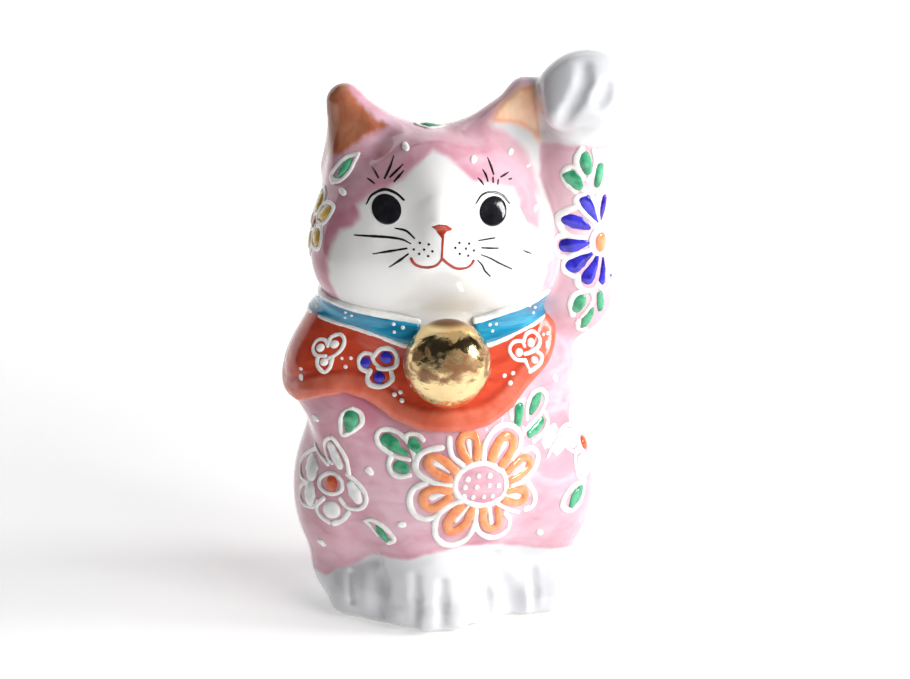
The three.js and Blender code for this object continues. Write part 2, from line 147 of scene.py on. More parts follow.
TOES = ((-8.6, -24, 4.2), (-3.7, -27, 4.5), (1.9, -26.6, 4.4), (6.4, -22.6, 4.2))
forepaw = mould(
    ball((-1.5, -19.5, 9), (10, 9.5, 11)),
    *((limb((x * 0.85 - 0.3, y + 5, 12), (x, y, 3.6), r, r), 2.2) for x, y, r in TOES),
)
torso_mass = mould(
    ball((0, 2, 38), (29, 27, 40)),
    (ball((0, 0, 60), (31, 24, 17)), 8),  # chest
    (ball((-1, 0, 71), (28.2, 23, 10)), 5),  # neck
    (ball((-23.5, -3, 58), (11.8, 15, 13)), 6),  # right shoulder
    (ball((22, 0, 57), (9.5, 14, 12)), 8),  # left shoulder
    (ball((3, -12, 36), (20, 20.5, 24)), 8),  # belly
    (ball((-20.4, 1, 28), (14.4, 22, 21)), 6),  # right haunch
    (ball((23.2, 1, 29.5), (15.2, 22, 23), 2), 6),  # left haunch
    (ball((0, 0, 8), (30, 23, 12)), 6),  # seat
    (limb((-20, -13, 50), (-4, -20.5, 16), 9.5, 9.5), 6),  # right foreleg
    (hind_paw_right, 4.5),
    (hind_paw_left, 4.5),
    (forepaw, 6.5),
    (ball((-12.6, -16.6, 6.5), (6.2, 6.4, 10)), 5),  # between the paws
    (ball((9.6, -16.8, 6.5), (5.8, 6.6, 9)), 5),
)
torso_cut = mould(torso_mass, *groove(FOOT_GROOVES))
FOOT_ROUNDING = 2.0  # mm


def torso(x, y, z):
    return smooth_max(torso_cut(x, y, z), -z, FOOT_ROUNDING)


head = mould(
    ball((-0.8, -1, 93), (28.3, 25.5, 23.8)),
    (ball((FACE_X - 12.5, -9.5, 85.5), (15, 14.5, 12)), 9),  # cheeks
    (ball((FACE_X + 12.5, -9.5, 85.5), (15, 14.5, 12)), 9),
    (limb((FACE_X, -12.5, 105.5), (FACE_X, -24.7, 100.4), 8.5, 4.2), 10),  # brow to nose
    (ball((FACE_X, -21.5, 91.5), (11.5, 7.6, 7.5)), 8),  # muzzle
    (ball((FACE_X - 4.4, -25, 92.3), (5.8, 4.6, 5)), 4),
    (ball((FACE_X + 4.4, -25, 92.3), (5.8, 4.6, 5)), 4),
    (ball((FACE_X, -28.2, 99.3), (2.6, 2, 1.8)), 2.5),
    (ball((FACE_X - 9.5, -34.6, 99.5), (6, 6.5, 6.5)), 9, "cut"),  # hollows beside the nose
    (ball((FACE_X + 9.5, -34.6, 99.5), (6, 6.5, 6.5)), 9, "cut"),
)


def ear(tip, inner, outer, ridge, dish):
    """A wedge from its tip to an inner and an outer root, with a ridge down its face beside a dish."""
    return mould(
        limb(inner, tip, 8.6, 3.3),
        (limb(outer, tip, 6.8, 3.0), 4),
        (limb(ridge, tip, 6.0, 2.8), 3),
        (ball(*dish), 3, "cut"),
    )


ear_right = ear(
    tip=(-21.5, 0, 122.6),
    inner=(-9.5, -3, 109.6),
    outer=(-20.2, 5, 107.5),
    ridge=(-19.5, -2, 108),
    dish=((-13.5, -12.6, 115.5), (5, 6, 9), 24),
)
ear_left = ear(
    tip=(21.2, 0, 123.6),
    inner=(11, -3, 111.2),
    outer=(20, 5, 106),
    ridge=(20, -1.5, 108),
    dish=((18.5, -11.6, 117.5), (6, 6, 9), -24),
)

FINGERS = ((28.6, -1.6), (33.4, 0.4), (38.6, 0.2))
arm_mass = mould(
    limb((32, -2, 77), (32.8, -3, 108), 9.6, 8.2),
    (limb((24, 1, 66), (30.5, -2, 76), 8, 10), 5),
    (ball((35.7, -3.4, 124.4), (10.2, 10.4, 10.2)), 8),
    (limb((26.5, 0, 92), (28.5, 0, 120), 4.5, 4.5), 4),
    (limb((22.5, -0.5, 122), (29, -1.5, 123), 3.2, 5), 4),  # web to the ear
    *((limb((x, -6, 128.4 + z), (x - 0.6, -10.8, 122.5 + z), 3.6, 3.0), 5.5) for x, z in FINGERS),
)
arm = mould(arm_mass, *groove(PAW_GROOVES))
TAIL = ((-2, 25.5, 8), (8, 27.5, 9), (14.5, 24.5, 15), (15, 22.5, 23))
tail = mould(
    limb(TAIL[0], TAIL[1], 5.6, 5.4),
    (limb(TAIL[1], TAIL[2], 5.4, 5.0), 3),
    (limb(TAIL[2], TAIL[3], 5.0, 4.6), 3),
)

CLAY = {"body": torso, "head": head, "ear_right": ear_right, "ear_left": ear_left, "arm": arm, "tail": tail}
BLENDS = {"head": 3.0, "ear_right": 5.0, "ear_left": 5.0, "arm": 3.0, "tail": 2.5}


def cat(x, y, z):
    d = torso(x, y, z)
    for name, blend in BLENDS.items():
        d = smooth_min(d, CLAY[name](x, y, z), blend)
    return d


# ---- from fields to meshes -------------------------------------------------------------------

GRADIENT_REACH = 0.12  # mm
COARSE_CELL = 4  # mesh steps in one cell of the first, coarse search for the surface
PULLS = 2  # times the mesh's points are drawn onto the surface


def at(field, p):
    return field(p[:, 0], p[:, 1], p[:, 2])


def gradient(field, p):
    g = np.zeros_like(p)
    for sx, sy, sz in ((1, 1, 1), (1, -1, -1), (-1, 1, -1), (-1, -1, 1)):
        s = np.array([sx, sy, sz])
        g += at(field, p + s * GRADIENT_REACH)[:, None] * s
    return g / (4 * GRADIENT_REACH)


def unit(v):
    return v / np.maximum(np.linalg.norm(v, axis=-1, keepdims=True), 1e-9)


def surface_net(field, low, high, step):
    """A quad mesh of the field's zero surface: points, outward normals and quads."""
    cell = COARSE_CELL
    count = [int(math.ceil((h - l) / step / cell)) * cell for l, h in zip(low, high)]
    axes = [l + step * np.arange(n) for l, n in zip(low, count)]
    coarse = [a[cell // 2 :: cell] - step / 2 for a in axes]
    cx, cy, cz = np.meshgrid(*coarse, indexing="ij")
    rough = field(cx, cy, cz)
    value = rough.repeat(cell, 0).repeat(cell, 1).repeat(cell, 2)
    band = np.abs(value) < step * cell * 1.5
    ix, iy, iz = np.nonzero(band)
    value[ix, iy, iz] = field(axes[0][ix], axes[1][iy], axes[2][iz])
    inside = value < 0
    corners = [(i, j, k) for i in (0, 1) for j in (0, 1) for k in (0, 1)]
    n0, n1, n2 = inside.shape

    def shifted(c):
        return inside[c[0] : n0 - 1 + c[0], c[1] : n1 - 1 + c[1], c[2] : n2 - 1 + c[2]]

    total = sum(shifted(c).astype(np.int8) for c in corners)
    cells = np.argwhere((total > 0) & (total < 8))
    index = np.full((n0 - 1, n1 - 1, n2 - 1), -1, np.int64)
    index[tuple(cells.T)] = np.arange(len(cells))
    v = {c: value[cells[:, 0] + c[0], cells[:, 1] + c[1], cells[:, 2] + c[2]] for c in corners}
    where = np.zeros((len(cells), 3))
    hits = np.zeros(len(cells))
    for axis in range(3):
        for c in corners:
            if c[axis]:
                continue
            e = list(c)
            e[axis] = 1
            a, b = v[c], v[tuple(e)]
            cross = (a < 0) != (b < 0)
            t = np.where(cross, a / np.where(cross, a - b, 1), 0)
            point = np.array(c, float)[None, :].repeat(len(cells), 0)
            point[:, axis] += t
            where += point * cross[:, None]
            hits += cross
    points = np.array([a[0] for a in axes]) + step * (cells + where / hits[:, None])
    for _ in range(PULLS):
        g = gradient(field, points)
        size = np.maximum((g * g).sum(1), 0.05)
        points = points - g * np.clip(at(field, points) / size, -step, step)[:, None]
    quads = []
    for axis in range(3):
        u, w = (axis + 1) % 3, (axis + 2) % 3
        near, far = [slice(1, -1)] * 3, [slice(1, -1)] * 3
        near[axis], far[axis] = slice(0, -1), slice(1, None)
        a, b = inside[tuple(near)], inside[tuple(far)]
        for going in (True, False):
            edges = np.argwhere((a & ~b) if going else (~a & b)) + 1
            edges[:, axis] -= 1
            du, dw = np.eye(3, dtype=int)[u], np.eye(3, dtype=int)[w]
            ring = [edges - du - dw, edges - dw, edges, edges - du]
            ring = ring if going else ring[::-1]
            quads.append(np.stack([index[tuple(r.T)] for r in ring], 1))
    quads = np.concatenate(quads)
    return points, unit(gradient(field, points)), quads[(quads >= 0).all(1)]


def tree_of(points, quads):
    return BVHTree.FromPolygons([tuple(p) for p in points], [tuple(q) for q in quads.tolist()])


def to_world(points):
    return (points + SHIFT) * MM


def mesh_piece(name, points, faces, normals=None, attributes=None):
    mesh = bpy.data.meshes.new(name)
    mesh.from_pydata([], [], [])
    faces = np.asarray(faces)
    mesh.vertices.add(len(points))
    mesh.vertices.foreach_set("co", to_world(points).astype(np.float32).ravel())
    mesh.loops.add(faces.size)
    mesh.loops.foreach_set("vertex_index", faces.astype(np.int32).ravel())
    mesh.polygons.add(len(faces))
    mesh.polygons.foreach_set("loop_start", (np.arange(len(faces)) * faces.shape[1]).astype(np.int32))
    mesh.polygons.foreach_set("use_smooth", np.ones(len(faces), bool))
    for key, values in (attributes or {}).items():
        mesh.attributes.new(key, "FLOAT", "POINT").data.foreach_set("value", values.astype(np.float32))
    mesh.update(calc_edges=True)
    mesh.validate()
    if normals is not None:
        mesh.normals_split_custom_set_from_vertices([tuple(n) for n in normals])
    piece = bpy.data.objects.new(name, mesh)
    bpy.context.scene.collection.objects.link(piece)
    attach(piece, "root")
    return piece


def boundary_edges(faces):
    """Directed edges that only one face uses."""
    n = faces.shape[1]
    edges = np.concatenate([faces[:, [i, (i + 1) % n]] for i in range(n)])
    key = np.sort(edges, 1)
    _, first, count = np.unique(key, axis=0, return_index=True, return_counts=True)
    return edges[first[count == 1]]


def walled(points, normals, faces, wall):
    """A closed wall: the outer skin, an inner skin `wall` below it, and the rim between them."""
    used = np.unique(faces)
    renumber = np.full(len(points), -1)
    renumber[used] = np.arange(len(used))
    outer = renumber[faces]
    p, n = points[used], normals[used]
    inner = outer[:, ::-1] + len(used)
    rim = boundary_edges(outer)
    rim = np.stack([rim[:, 1], rim[:, 0], rim[:, 0] + len(used), rim[:, 1] + len(used)], 1)
    return (
        np.concatenate([p, p - n * wall]),
        np.concatenate([n, -n]),
        np.concatenate([outer, inner, rim]),
        used,
    )


# ---- materials -------------------------------------------------------------------------------

def srgb(*rgb):
    """Display colour 0..255 to a linear RGBA tuple."""
    lin = [c / 255 / 12.92 if c / 255 <= 0.04045 else ((c / 255 + 0.055) / 1.055) ** 2.4 for c in rgb]
    return (*lin, 1.0)


class Nodes:
    """A material's node tree, with short calls for the nodes used here."""

    def __init__(self, name, **sockets):
        self.material = bpy.data.materials.new(name)
        self.material.use_nodes = True
        self.tree = self.material.node_tree
        self.shader = self.tree.nodes["Principled BSDF"]
        for key, value in sockets.items():
            self.shader.inputs[key.replace("_", " ")].default_value = value
        self.place = self.add("ShaderNodeTexCoord").outputs["Object"]

    def add(self, kind, **inputs):
        node = self.tree.nodes.new(kind)
        for key, value in inputs.items():
            self.plug(node.inputs[key.replace("_", " ")], value)
        return node

    def plug(self, socket, value):
        if isinstance(value, bpy.types.NodeSocket):
            self.tree.links.new(value, socket)
        else:
            socket.default_value = value

    def attribute(self, name):
        node = self.tree.nodes.new("ShaderNodeAttribute")
        node.attribute_name = name
        return node.outputs["Fac"]

    def math(self, operation, a, b=0.0, c=0.0):
        node = self.tree.nodes.new("ShaderNodeMath")
        node.operation = operation
        for socket, value in zip(node.inputs, (a, b, c)):
            self.plug(socket, value)
        return node.outputs[0]

    def noise(self, scale, detail=2.0, stretch=None, distortion=0.0):
        """Noise from 0 to 1; scale is in lumps per metre, stretch scales each axis."""
        where = self.place
        if stretch:
            mapping = self.add("ShaderNodeMapping", Vector=self.place)
            mapping.inputs["Scale"].default_value = stretch
            where = mapping.outputs[0]
        node = self.add("ShaderNodeTexNoise", Vector=where, Scale=scale, Detail=detail, Distortion=distortion)
        return node.outputs["Fac"]

    def ramp(self, value, low, high, to_low=0.0, to_high=1.0):
        node = self.tree.nodes.new("ShaderNodeMapRange")
        node.interpolation_type = "SMOOTHSTEP"
        keys = ("Value", "From Min", "From Max", "To Min", "To Max")
        for key, v in zip(keys, (value, low, high, to_low, to_high)):
            self.plug(node.inputs[key], v)
        return node.outputs[0]

    def mix(self, factor, a, b):
        node = self.tree.nodes.new("ShaderNodeMix")
        node.data_type = "RGBA"
        self.plug(node.inputs[0], factor)
        self.plug(node.inputs[6], a)
        self.plug(node.inputs[7], b)
        return node.outputs[2]

    def colour(self, value):
        self.plug(self.shader.inputs["Base Color"], value)

    def bump(self, height, distance, strength):
        node = self.add("ShaderNodeBump", Height=height, Distance=distance, Strength=strength)
        self.plug(self.shader.inputs["Normal"], node.outputs[0])


WHITE = srgb(238, 237, 235)
PINK = srgb(208, 146, 163)
PINK_THIN = srgb(229, 190, 203)
PINK_DEEP = srgb(178, 92, 112)
PINK_LIT = srgb(238, 202, 212)
SHADED_WHITE = srgb(217, 218, 221)
BARE_CLAY = srgb(226, 220, 206)
EAR_SHADED_ORANGE = srgb(178, 116, 86)
EAR_SHADED_ORANGE_DEEP = srgb(146, 78, 54)
EAR_LIT_ORANGE = srgb(255, 224, 194)
EAR_LIT_ORANGE_DEEP = srgb(250, 184, 140)
EAR_RIM = srgb(206, 104, 60)


def clay_material():
    """Glossy glaze over white porcelain, with the pink wash laid on with a brush and the orange of the ears.
    Light and shade are painted in: paler pink and a lit orange ear on the cat's left, deeper pink and a
    shaded orange ear on its right, greyer white on the feet and over the raised paw.
    """
    m = Nodes("glazed_clay", Roughness=0.07, IOR=1.52, Coat_Weight=0.35, Coat_Roughness=0.03)
    pink, orange = m.attribute("pink"), m.attribute("orange")
    wobble = m.noise(210, 4, (1.0, 1.0, 0.6))
    edge = m.math("ADD", pink, m.math("MULTIPLY_ADD", wobble, 1.3, -0.65))
    streak = m.noise(120, 4, (1.0, 1.0, 2.2), 0.5)
    cloud = m.noise(34, 3, None, 0.6)
    wash = m.math("ADD", m.math("MULTIPLY", streak, 0.45), m.math("MULTIPLY", cloud, 0.6))
    shade = m.mix(m.ramp(wash, 0.36, 0.66), PINK_THIN, PINK)
    shade = m.mix(m.ramp(cloud, 0.5, 0.72, 0.0, 0.45), shade, PINK_DEEP)
    shade = m.mix(m.ramp(streak, 0.6, 0.78, 0.0, 0.3), shade, PINK_DEEP)
    spot = m.add("ShaderNodeSeparateXYZ", Vector=m.place).outputs
    across, height = spot["X"], spot["Z"]
    # Painted light: the pink is painted paler towards the cat's left side, where the lamps stand, and more so
    # higher up.
    lit_fade = m.math("MULTIPLY", m.ramp(across, 0.0, 0.022, 0.0, 0.75), m.ramp(height, 0.055, 0.09, 0.25, 1.0))
    shade = m.mix(lit_fade, shade, PINK_LIT)
    pooled = m.ramp(m.math("ABSOLUTE", m.math("SUBTRACT", edge, 0.9)), 0.0, 1.1, 0.22, 0.0)
    shade = m.mix(m.math("MULTIPLY", pooled, m.ramp(m.noise(60, 2), 0.4, 0.6)), shade, PINK_DEEP)
    # Painted shade: the white is painted greyer low on the feet and near the top, over the raised paw.
    paws = m.math("MAXIMUM", m.ramp(height, 0.014, 0.03, 1.0, 0.0), m.ramp(height, 0.108, 0.12))
    white = m.mix(paws, WHITE, SHADED_WHITE)
    # Painted shade: the pink is painted deeper on the cat's right side, away from the lamps.
    shade = m.mix(m.ramp(across, -0.045, -0.015, 0.5, 0.0), shade, PINK_DEEP)
    base = m.mix(m.ramp(edge, -0.5, 0.6), white, shade)
    brush = m.ramp(m.noise(260, 4, (1, 1, 0.6), 0.6), 0.25, 0.8)
    rust = m.mix(brush, EAR_SHADED_ORANGE, EAR_SHADED_ORANGE_DEEP)
    lit_orange = m.mix(brush, EAR_LIT_ORANGE, EAR_LIT_ORANGE_DEEP)
    # Painted light and shade: the orange of the cat's right ear is painted darker as shade, that of its left
    # ear paler as light.
    rust = m.mix(m.ramp(across, -0.004, 0.012), rust, lit_orange)
    rim = m.ramp(m.math("ABSOLUTE", m.math("SUBTRACT", orange, 0.8)), 0.0, 0.9, 0.3, 0.0)
    rust = m.mix(rim, rust, EAR_RIM)
    orange_edge = m.math("ADD", orange, m.math("MULTIPLY_ADD", m.noise(420, 3, (1, 1, 0.4)), 2.2, -1.1))
    base = m.mix(m.ramp(orange_edge, -0.7, 1.1), base, rust)
    base = m.mix(m.ramp(m.attribute("bare"), -0.15, 0.15), base, BARE_CLAY)
    m.colour(base)
    rough = m.ramp(m.attribute("bare"), -0.15, 0.15, 0.06, 0.75)
    m.plug(m.shader.inputs["Roughness"], rough)
    m.bump(m.noise(150, 3), 0.0004, 0.22)
    return m.material


def enamel_material(name, light, dark, roughness=0.12, coat=0.3, ior=1.5):
    """Opaque raised enamel: darker towards the low edges of each trail, with a slight orange-peel gloss."""
    m = Nodes(name, Roughness=roughness, IOR=ior, Coat_Weight=coat, Coat_Roughness=0.05)
    patch = m.mix(m.ramp(m.noise(420, 3), 0.35, 0.72), light, dark)
    thin = m.ramp(m.attribute("height"), 0.0, 0.3, 0.55, 0.0)
    m.colour(m.mix(thin, patch, dark))
    m.bump(m.noise(900, 2), 0.0002, 0.2)
    return m.material


def gold_material():
    """Fired gold lustre: bright metal with random browner spots. A duller brown band across the middle is a
    painted reflection of the dark room in front, and the top is painted darker as shade under the chin.
    """
    m = Nodes("gold_lustre", Metallic=1.0, Roughness=0.16)
    tone = m.mix(m.ramp(m.noise(120, 4), 0.3, 0.75), srgb(250, 226, 172), srgb(230, 192, 130))
    worn = m.ramp(m.noise(340, 5, (1, 1, 2.5)), 0.62, 0.76)
    height = m.add("ShaderNodeSeparateXYZ", Vector=m.place).outputs["Z"]
    # Painted reflection: a dull brown, less metallic band across the middle of the bell.
    off_middle = m.math("ABSOLUTE", m.math("SUBTRACT", height, (BELL["z"] + 1.2) * MM))
    middle = m.ramp(off_middle, 0.0022, 0.0062, 0.32, 0.0)
    patch = m.ramp(m.math("ADD", m.noise(260, 4, (1, 1, 1.4), 0.6), middle), 0.68, 0.9)
    base = m.mix(worn, tone, srgb(186, 138, 88))
    # Painted shade: the top of the bell, under the chin, is painted dark brown.
    base = m.mix(m.ramp(height, (BELL["z"] + 9.1) * MM, (BELL["z"] + 10.1) * MM), base, srgb(140, 98, 60))
    m.colour(m.mix(patch, base, srgb(146, 104, 68)))
    m.plug(m.shader.inputs["Metallic"], m.math("MULTIPLY_ADD", patch, -0.75, 1.0))
    rough = m.ramp(m.noise(500, 4), 0.3, 0.8, 0.1, 0.24)
    m.plug(m.shader.inputs["Roughness"], m.math("MULTIPLY_ADD", patch, 0.22, rough))
    m.bump(m.noise(90, 4, None, 0.5), 0.0012, 0.5)
    return m.material


def bib_material():
    """Translucent red glaze: deep on the field of the bib, thinner and duller along the rolled hem."""
    m = Nodes("red_bib", Roughness=0.16, IOR=1.45, Coat_Weight=0.12, Coat_Roughness=0.06)
    hem = m.math("ADD", m.attribute("hem"), m.math("MULTIPLY_ADD", m.noise(220, 3), 1.0, -0.5))
    streak = m.noise(130, 4, (1.0, 1.0, 2.6), 0.8)
    field = m.mix(m.ramp(streak, 0.3, 0.75), srgb(214, 82, 54), srgb(188, 58, 38))
    rim = m.mix(m.ramp(m.noise(180, 3), 0.3, 0.7), srgb(228, 122, 98), srgb(210, 98, 74))
    base = m.mix(m.ramp(hem, 3.7, 5.3), rim, field)
    crease = m.ramp(m.math("ABSOLUTE", m.math("SUBTRACT", hem, 5.2)), 0.0, 1.3, 0.35, 0.0)
    base = m.mix(crease, base, srgb(150, 40, 26))
    base = m.mix(m.ramp(hem, 0.0, 0.6, 0.7, 0.0), base, srgb(226, 150, 132))
    m.colour(base)
    m.bump(m.noise(160, 3), 0.0004, 0.2)
    return m.material


def turquoise_material():
    """Brushed turquoise enamel, paler where the brush lifted."""
    m = Nodes("turquoise_band", Roughness=0.1, IOR=1.5, Coat_Weight=0.3, Coat_Roughness=0.04)
    streak = m.noise(240, 4, (0.35, 0.35, 1.6), 0.5)
    base = m.mix(m.ramp(streak, 0.3, 0.72), srgb(58, 170, 205), srgb(20, 116, 156))
    edge = m.ramp(m.attribute("band"), 0.2, 1.3, 0.5, 0.0)
    m.colour(m.mix(edge, base, srgb(14, 92, 128)))
    m.bump(m.noise(200, 3), 0.0003, 0.2)
    return m.material


MATERIALS = {
    "clay": clay_material(),
    "bib": bib_material(),
    "gold": gold_material(),
    "white": enamel_material("white_enamel", srgb(250, 249, 246), srgb(232, 231, 228)),
    "orange": enamel_material("orange_enamel", srgb(250, 164, 114), srgb(240, 136, 84)),
    "green": enamel_material("green_enamel", srgb(84, 176, 132), srgb(44, 132, 92)),
    "blue": enamel_material("blue_enamel", srgb(64, 58, 208), srgb(38, 30, 140)),
    "yellow": enamel_material("yellow_enamel", srgb(228, 192, 96), srgb(196, 150, 56)),
    "ember": enamel_material("ember_enamel", srgb(218, 96, 52), srgb(176, 60, 32)),
    "turquoise": turquoise_material(),
    "black": enamel_material("black_line", srgb(34, 34, 38), srgb(18, 18, 22), 0.1, 0.3, 1.45),
    "rust": enamel_material("rust_line", srgb(190, 74, 50), srgb(150, 48, 32)),
    "plate": enamel_material("white_plates", srgb(246, 246, 245), srgb(226, 227, 228)),
}


def finish_piece(piece, material, slot, *nodes):
    piece.data.materials.append(MATERIALS[material])
    if nodes:
        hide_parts(*nodes)
    return piece


# ---- the clay --------------------------------------------------------------------------------

VENT_R = 8.5
CAST_WALL = 2.2
FOOT_SKIN = 0.5  # everything lower than this is the underside
HEAD_FOOT = 76  # where the head's casting starts
NECK_PAINT = 71  # where the wash of the head meets that of the body
WRIST_PAINT = 113.2  # above this the raised paw stays white
FACE_BACK = -8  # the white of the face ends at this depth
EAR_BACK = 4  # and the front of the ears at this one
OUTSIDE = 9.0  # a distance to paint that counts as nowhere near it
BARE_EDGE = 0.35  # height of the unglazed foot ring
CLAY_BOX = (-40, -36, -3), (50, 36, 139)
# The outlines of paint, of the bib and of the collar, and the trails of enamel further on, were picked by
# eye on enlargements of the photograph and carried onto the clay, in mm, by a script that isn't part of this
# one. What daisy() and leaf() draw comes from a formula instead.

# Where the pink wash ends above the paws: bearing from the front in degrees, height in mm.
HEM = (
    (-180, 8), (-110, 8), (-68, 9), (-58, 12), (-50, 13.8), (-39, 16.9), (-26, 18.1), (-16, 18.4),
    (-9, 19.4), (-2, 20), (9, 21.2), (21, 20.6), (39, 18.3), (54, 16.6), (81, 13), (120, 9), (180, 8),
)
# The white of the face, in X and Z, the cat's right side first.
FACE = (
    (-1.9, 114.1), (-5, 111.4), (-9, 108), (-13.1, 105.2), (-17, 103.5), (-19.7, 101.3), (-19, 98.6),
    (-20.6, 97), (-23.5, 95.5), (-25.4, 91.7), (-26.4, 87.9), (-26, 83.6), (-24, 79), (-22, 66),
    (22, 66), (23.4, 79), (24.2, 83.9), (24.6, 89.9), (22.7, 94.7), (19.7, 97), (17.6, 98.6),
    (18.5, 101.8), (16.7, 104.5), (12.5, 105.9), (7.4, 107.4), (1.9, 112),
)
EAR_ORANGE = {
    "ear_right": (
        (-21.5, 128.5), (-19.9, 125.3), (-17.6, 122.3), (-14.6, 119.5), (-11.1, 117.9), (-13.5, 116.9),
        (-17, 114.9), (-20.5, 112.8), (-23.6, 110.8), (-27, 108.3), (-34, 110), (-32, 130),
    ),
    "ear_left": (
        (24.7, 117), (24.7, 113.9), (24, 112.6), (23.2, 113.6), (22.3, 115.1), (21, 116.3), (19.3, 117.2),
        (17.5, 117.6), (14.7, 117.8), (12.1, 118.2), (12.7, 119.8), (13.8, 121.4), (15.4, 123.1),
        (17.2, 124.6), (18.9, 126), (20.7, 126.7), (22.3, 127), (23.4, 127), (23.6, 124.6), (24.2, 120.5),
    ),
}
# The band kept white under the left ear and down the side of the head, beside the raised arm.
WHITE_BAND = (
    (12.5, 118.6), (16, 118.5), (19, 117.8), (22, 116), (25.5, 113.5), (27, 108), (27.5, 102), (27.3, 96),
    (26.6, 91), (25.5, 87.5), (23.3, 91.1), (23.5, 94.9), (23.7, 99.5), (23.4, 103.5), (22.5, 107.5),
    (20.8, 111.3), (18.8, 113.8), (16, 116.1), (13.5, 117.3),
)


def polygon_distance(points, x, z):
    """Signed distance in the X-Z plane to a closed outline: positive outside."""
    p = np.array(points, float)
    best = np.full(x.shape, 1e9)
    winding = np.zeros(x.shape, bool)
    for (x0, z0), (x1, z1) in zip(p, np.roll(p, -1, 0)):
        dx, dz = x1 - x0, z1 - z0
        t = np.clip(((x - x0) * dx + (z - z0) * dz) / (dx * dx + dz * dz), 0, 1)
        best = np.minimum(best, np.hypot(x - x0 - t * dx, z - z0 - t * dz))
        spans = (z0 > z) != (z1 > z)
        cut = x0 + (z - z0) * dx / (dz if dz else 1e-9)
        winding ^= spans & (x < cut)
    return np.where(winding, -best, best)


def paint(points, normals):
    """Signed distances, in mm, to the edges of the painted areas: positive inside."""
    x, y, z = points.T
    bearing = np.degrees(np.arctan2(x, -y))
    on_body = z - np.interp(bearing, *zip(*HEM))
    face = polygon_distance(FACE, x, z)
    face = np.where(y < FACE_BACK, face, np.maximum(face, y - FACE_BACK))
    far = {k: np.abs(f(x, y, z)) for k, f in CLAY.items()}
    near_head = np.minimum(far["head"], np.minimum(far["ear_right"], far["ear_left"]))
    head_side = np.minimum(far["arm"] - near_head, z - NECK_PAINT)
    white_band = np.where(y < EAR_BACK, 0.5 * polygon_distance(WHITE_BAND, x, z), OUTSIDE)
    on_head = np.minimum(np.minimum(0.7 * face, white_band), head_side)
    pink = np.maximum(on_head, np.minimum(np.minimum(on_body, WRIST_PAINT - z), -head_side))
    orange = np.full(len(x), -OUTSIDE)
    for outline in EAR_ORANGE.values():
        inside = np.minimum(-polygon_distance(outline, x, z), (0.1 - normals[:, 1]) * 8)
        orange = np.maximum(orange, np.where(y < EAR_BACK, inside, -OUTSIDE))
    return {"pink": pink, "orange": orange, "bare": BARE_EDGE - z}


def make_clay():
    """The castings, each a wall with its own stretch of the outside, cut open at the vent hole."""
    points, normals, quads = surface_net(cat, *CLAY_BOX, STEP)
    flat = points[:, 2] < FOOT_SKIN - 0.1
    r = np.hypot(points[:, 0], points[:, 1])
    snap = flat & (np.abs(r - VENT_R) < STEP * 0.6)
    points[snap, :2] *= (VENT_R / r[snap])[:, None]
    centre = points[quads].mean(1)
    vent = (centre[:, 2] < FOOT_SKIN) & (np.hypot(centre[:, 0], centre[:, 1]) < VENT_R)
    quads, centre = quads[~vent], centre[~vent]
    names = list(CLAY)
    owner = np.argmin([at(CLAY[n], centre) for n in names], 0)
    owner[(centre[:, 2] < HEAD_FOOT) & (owner == names.index("head"))] = names.index("body")
    marks = paint(points, normals)
    nodes = {"body": "body_casting", "head": "head_casting", "arm": "raised_arm"}
    for i, name in enumerate(names):
        p, n, f, used = walled(points, normals, quads[owner == i], CAST_WALL)
        both = {k: np.concatenate([v[used], np.full(len(used), -OUTSIDE)]) for k, v in marks.items()}
        piece = mesh_piece("clay_" + name, p, f, n, both)
        finish_piece(piece, "clay", "pink_glaze", nodes.get(name, name))
    return tree_of(points, quads)


TREE = make_clay()


# ---- the bib and its collar ------------------------------------------------------------------

NECK_R = 28.0  # millimetres round the neck for one radian of bearing
BIB_DEPTH, COLLAR_DEPTH = 1.15, 1.5  # how far they stand off the clay, mm
ROOT = 0.4  # how far both reach into it, mm
GAP_MIDDLE, GAP_HALF = 2.5, 15.5  # the collar's gap at the bell, degrees
GAP_SLOPE = 0.38  # millimetres in one degree, along the collar
# Lower edge of the bib and the two edges of the collar: bearing from the front in degrees, height in mm.
BIB_EDGE = (
    (-118, 74), (-108, 66), (-97, 57.5), (-84, 52.6), (-70, 52.8), (-55, 55.9), (-46.9, 57.2),
    (-38.7, 56), (-24.9, 51.5), (-12.5, 49.7), (-1.6, 49.4), (8.7, 49.5), (20.1, 50.4), (34.8, 53.3),
    (47.3, 58.3), (58.6, 62.9), (68, 68), (76, 74),
)
COLLAR_LOW = (
    (-180, 73.6), (-120, 73.4), (-85, 73), (-63, 72.8), (-47, 72.1), (-33, 70.6), (-21, 69), (0, 68),
    (26, 68.6), (43.5, 70.5), (65, 72.6), (90, 73.2), (180, 73.6),
)
COLLAR_HIGH = (
    (-180, 78.4), (-120, 78.4), (-85, 78.2), (-59, 77.7), (-46.5, 76.5), (-31.6, 75.3), (-14, 74.2),
    (4, 73.6), (23, 74.1), (40, 76.1), (58, 78.2), (90, 78.6), (180, 78.4),
)


def bearing_of(x, y):
    return np.degrees(np.arctan2(x, -y))


def along(curve, bearing):
    return np.interp(bearing, *zip(*curve))


def bust(x, y, z):
    return smooth_min(torso(x, y, z), head(x, y, z), 3.0)


BIB_TOP = ((78, 95), (-120, 95))  # well above the collar, which covers the bib's upper edge
BIB_OUTLINE = [(math.radians(b) * NECK_R, z) for b, z in BIB_EDGE + BIB_TOP]


def hem_distance(x, y, z):
    """Millimetres inside the bib's lower edge."""
    return -polygon_distance(BIB_OUTLINE, np.radians(bearing_of(x, y)) * NECK_R, z)


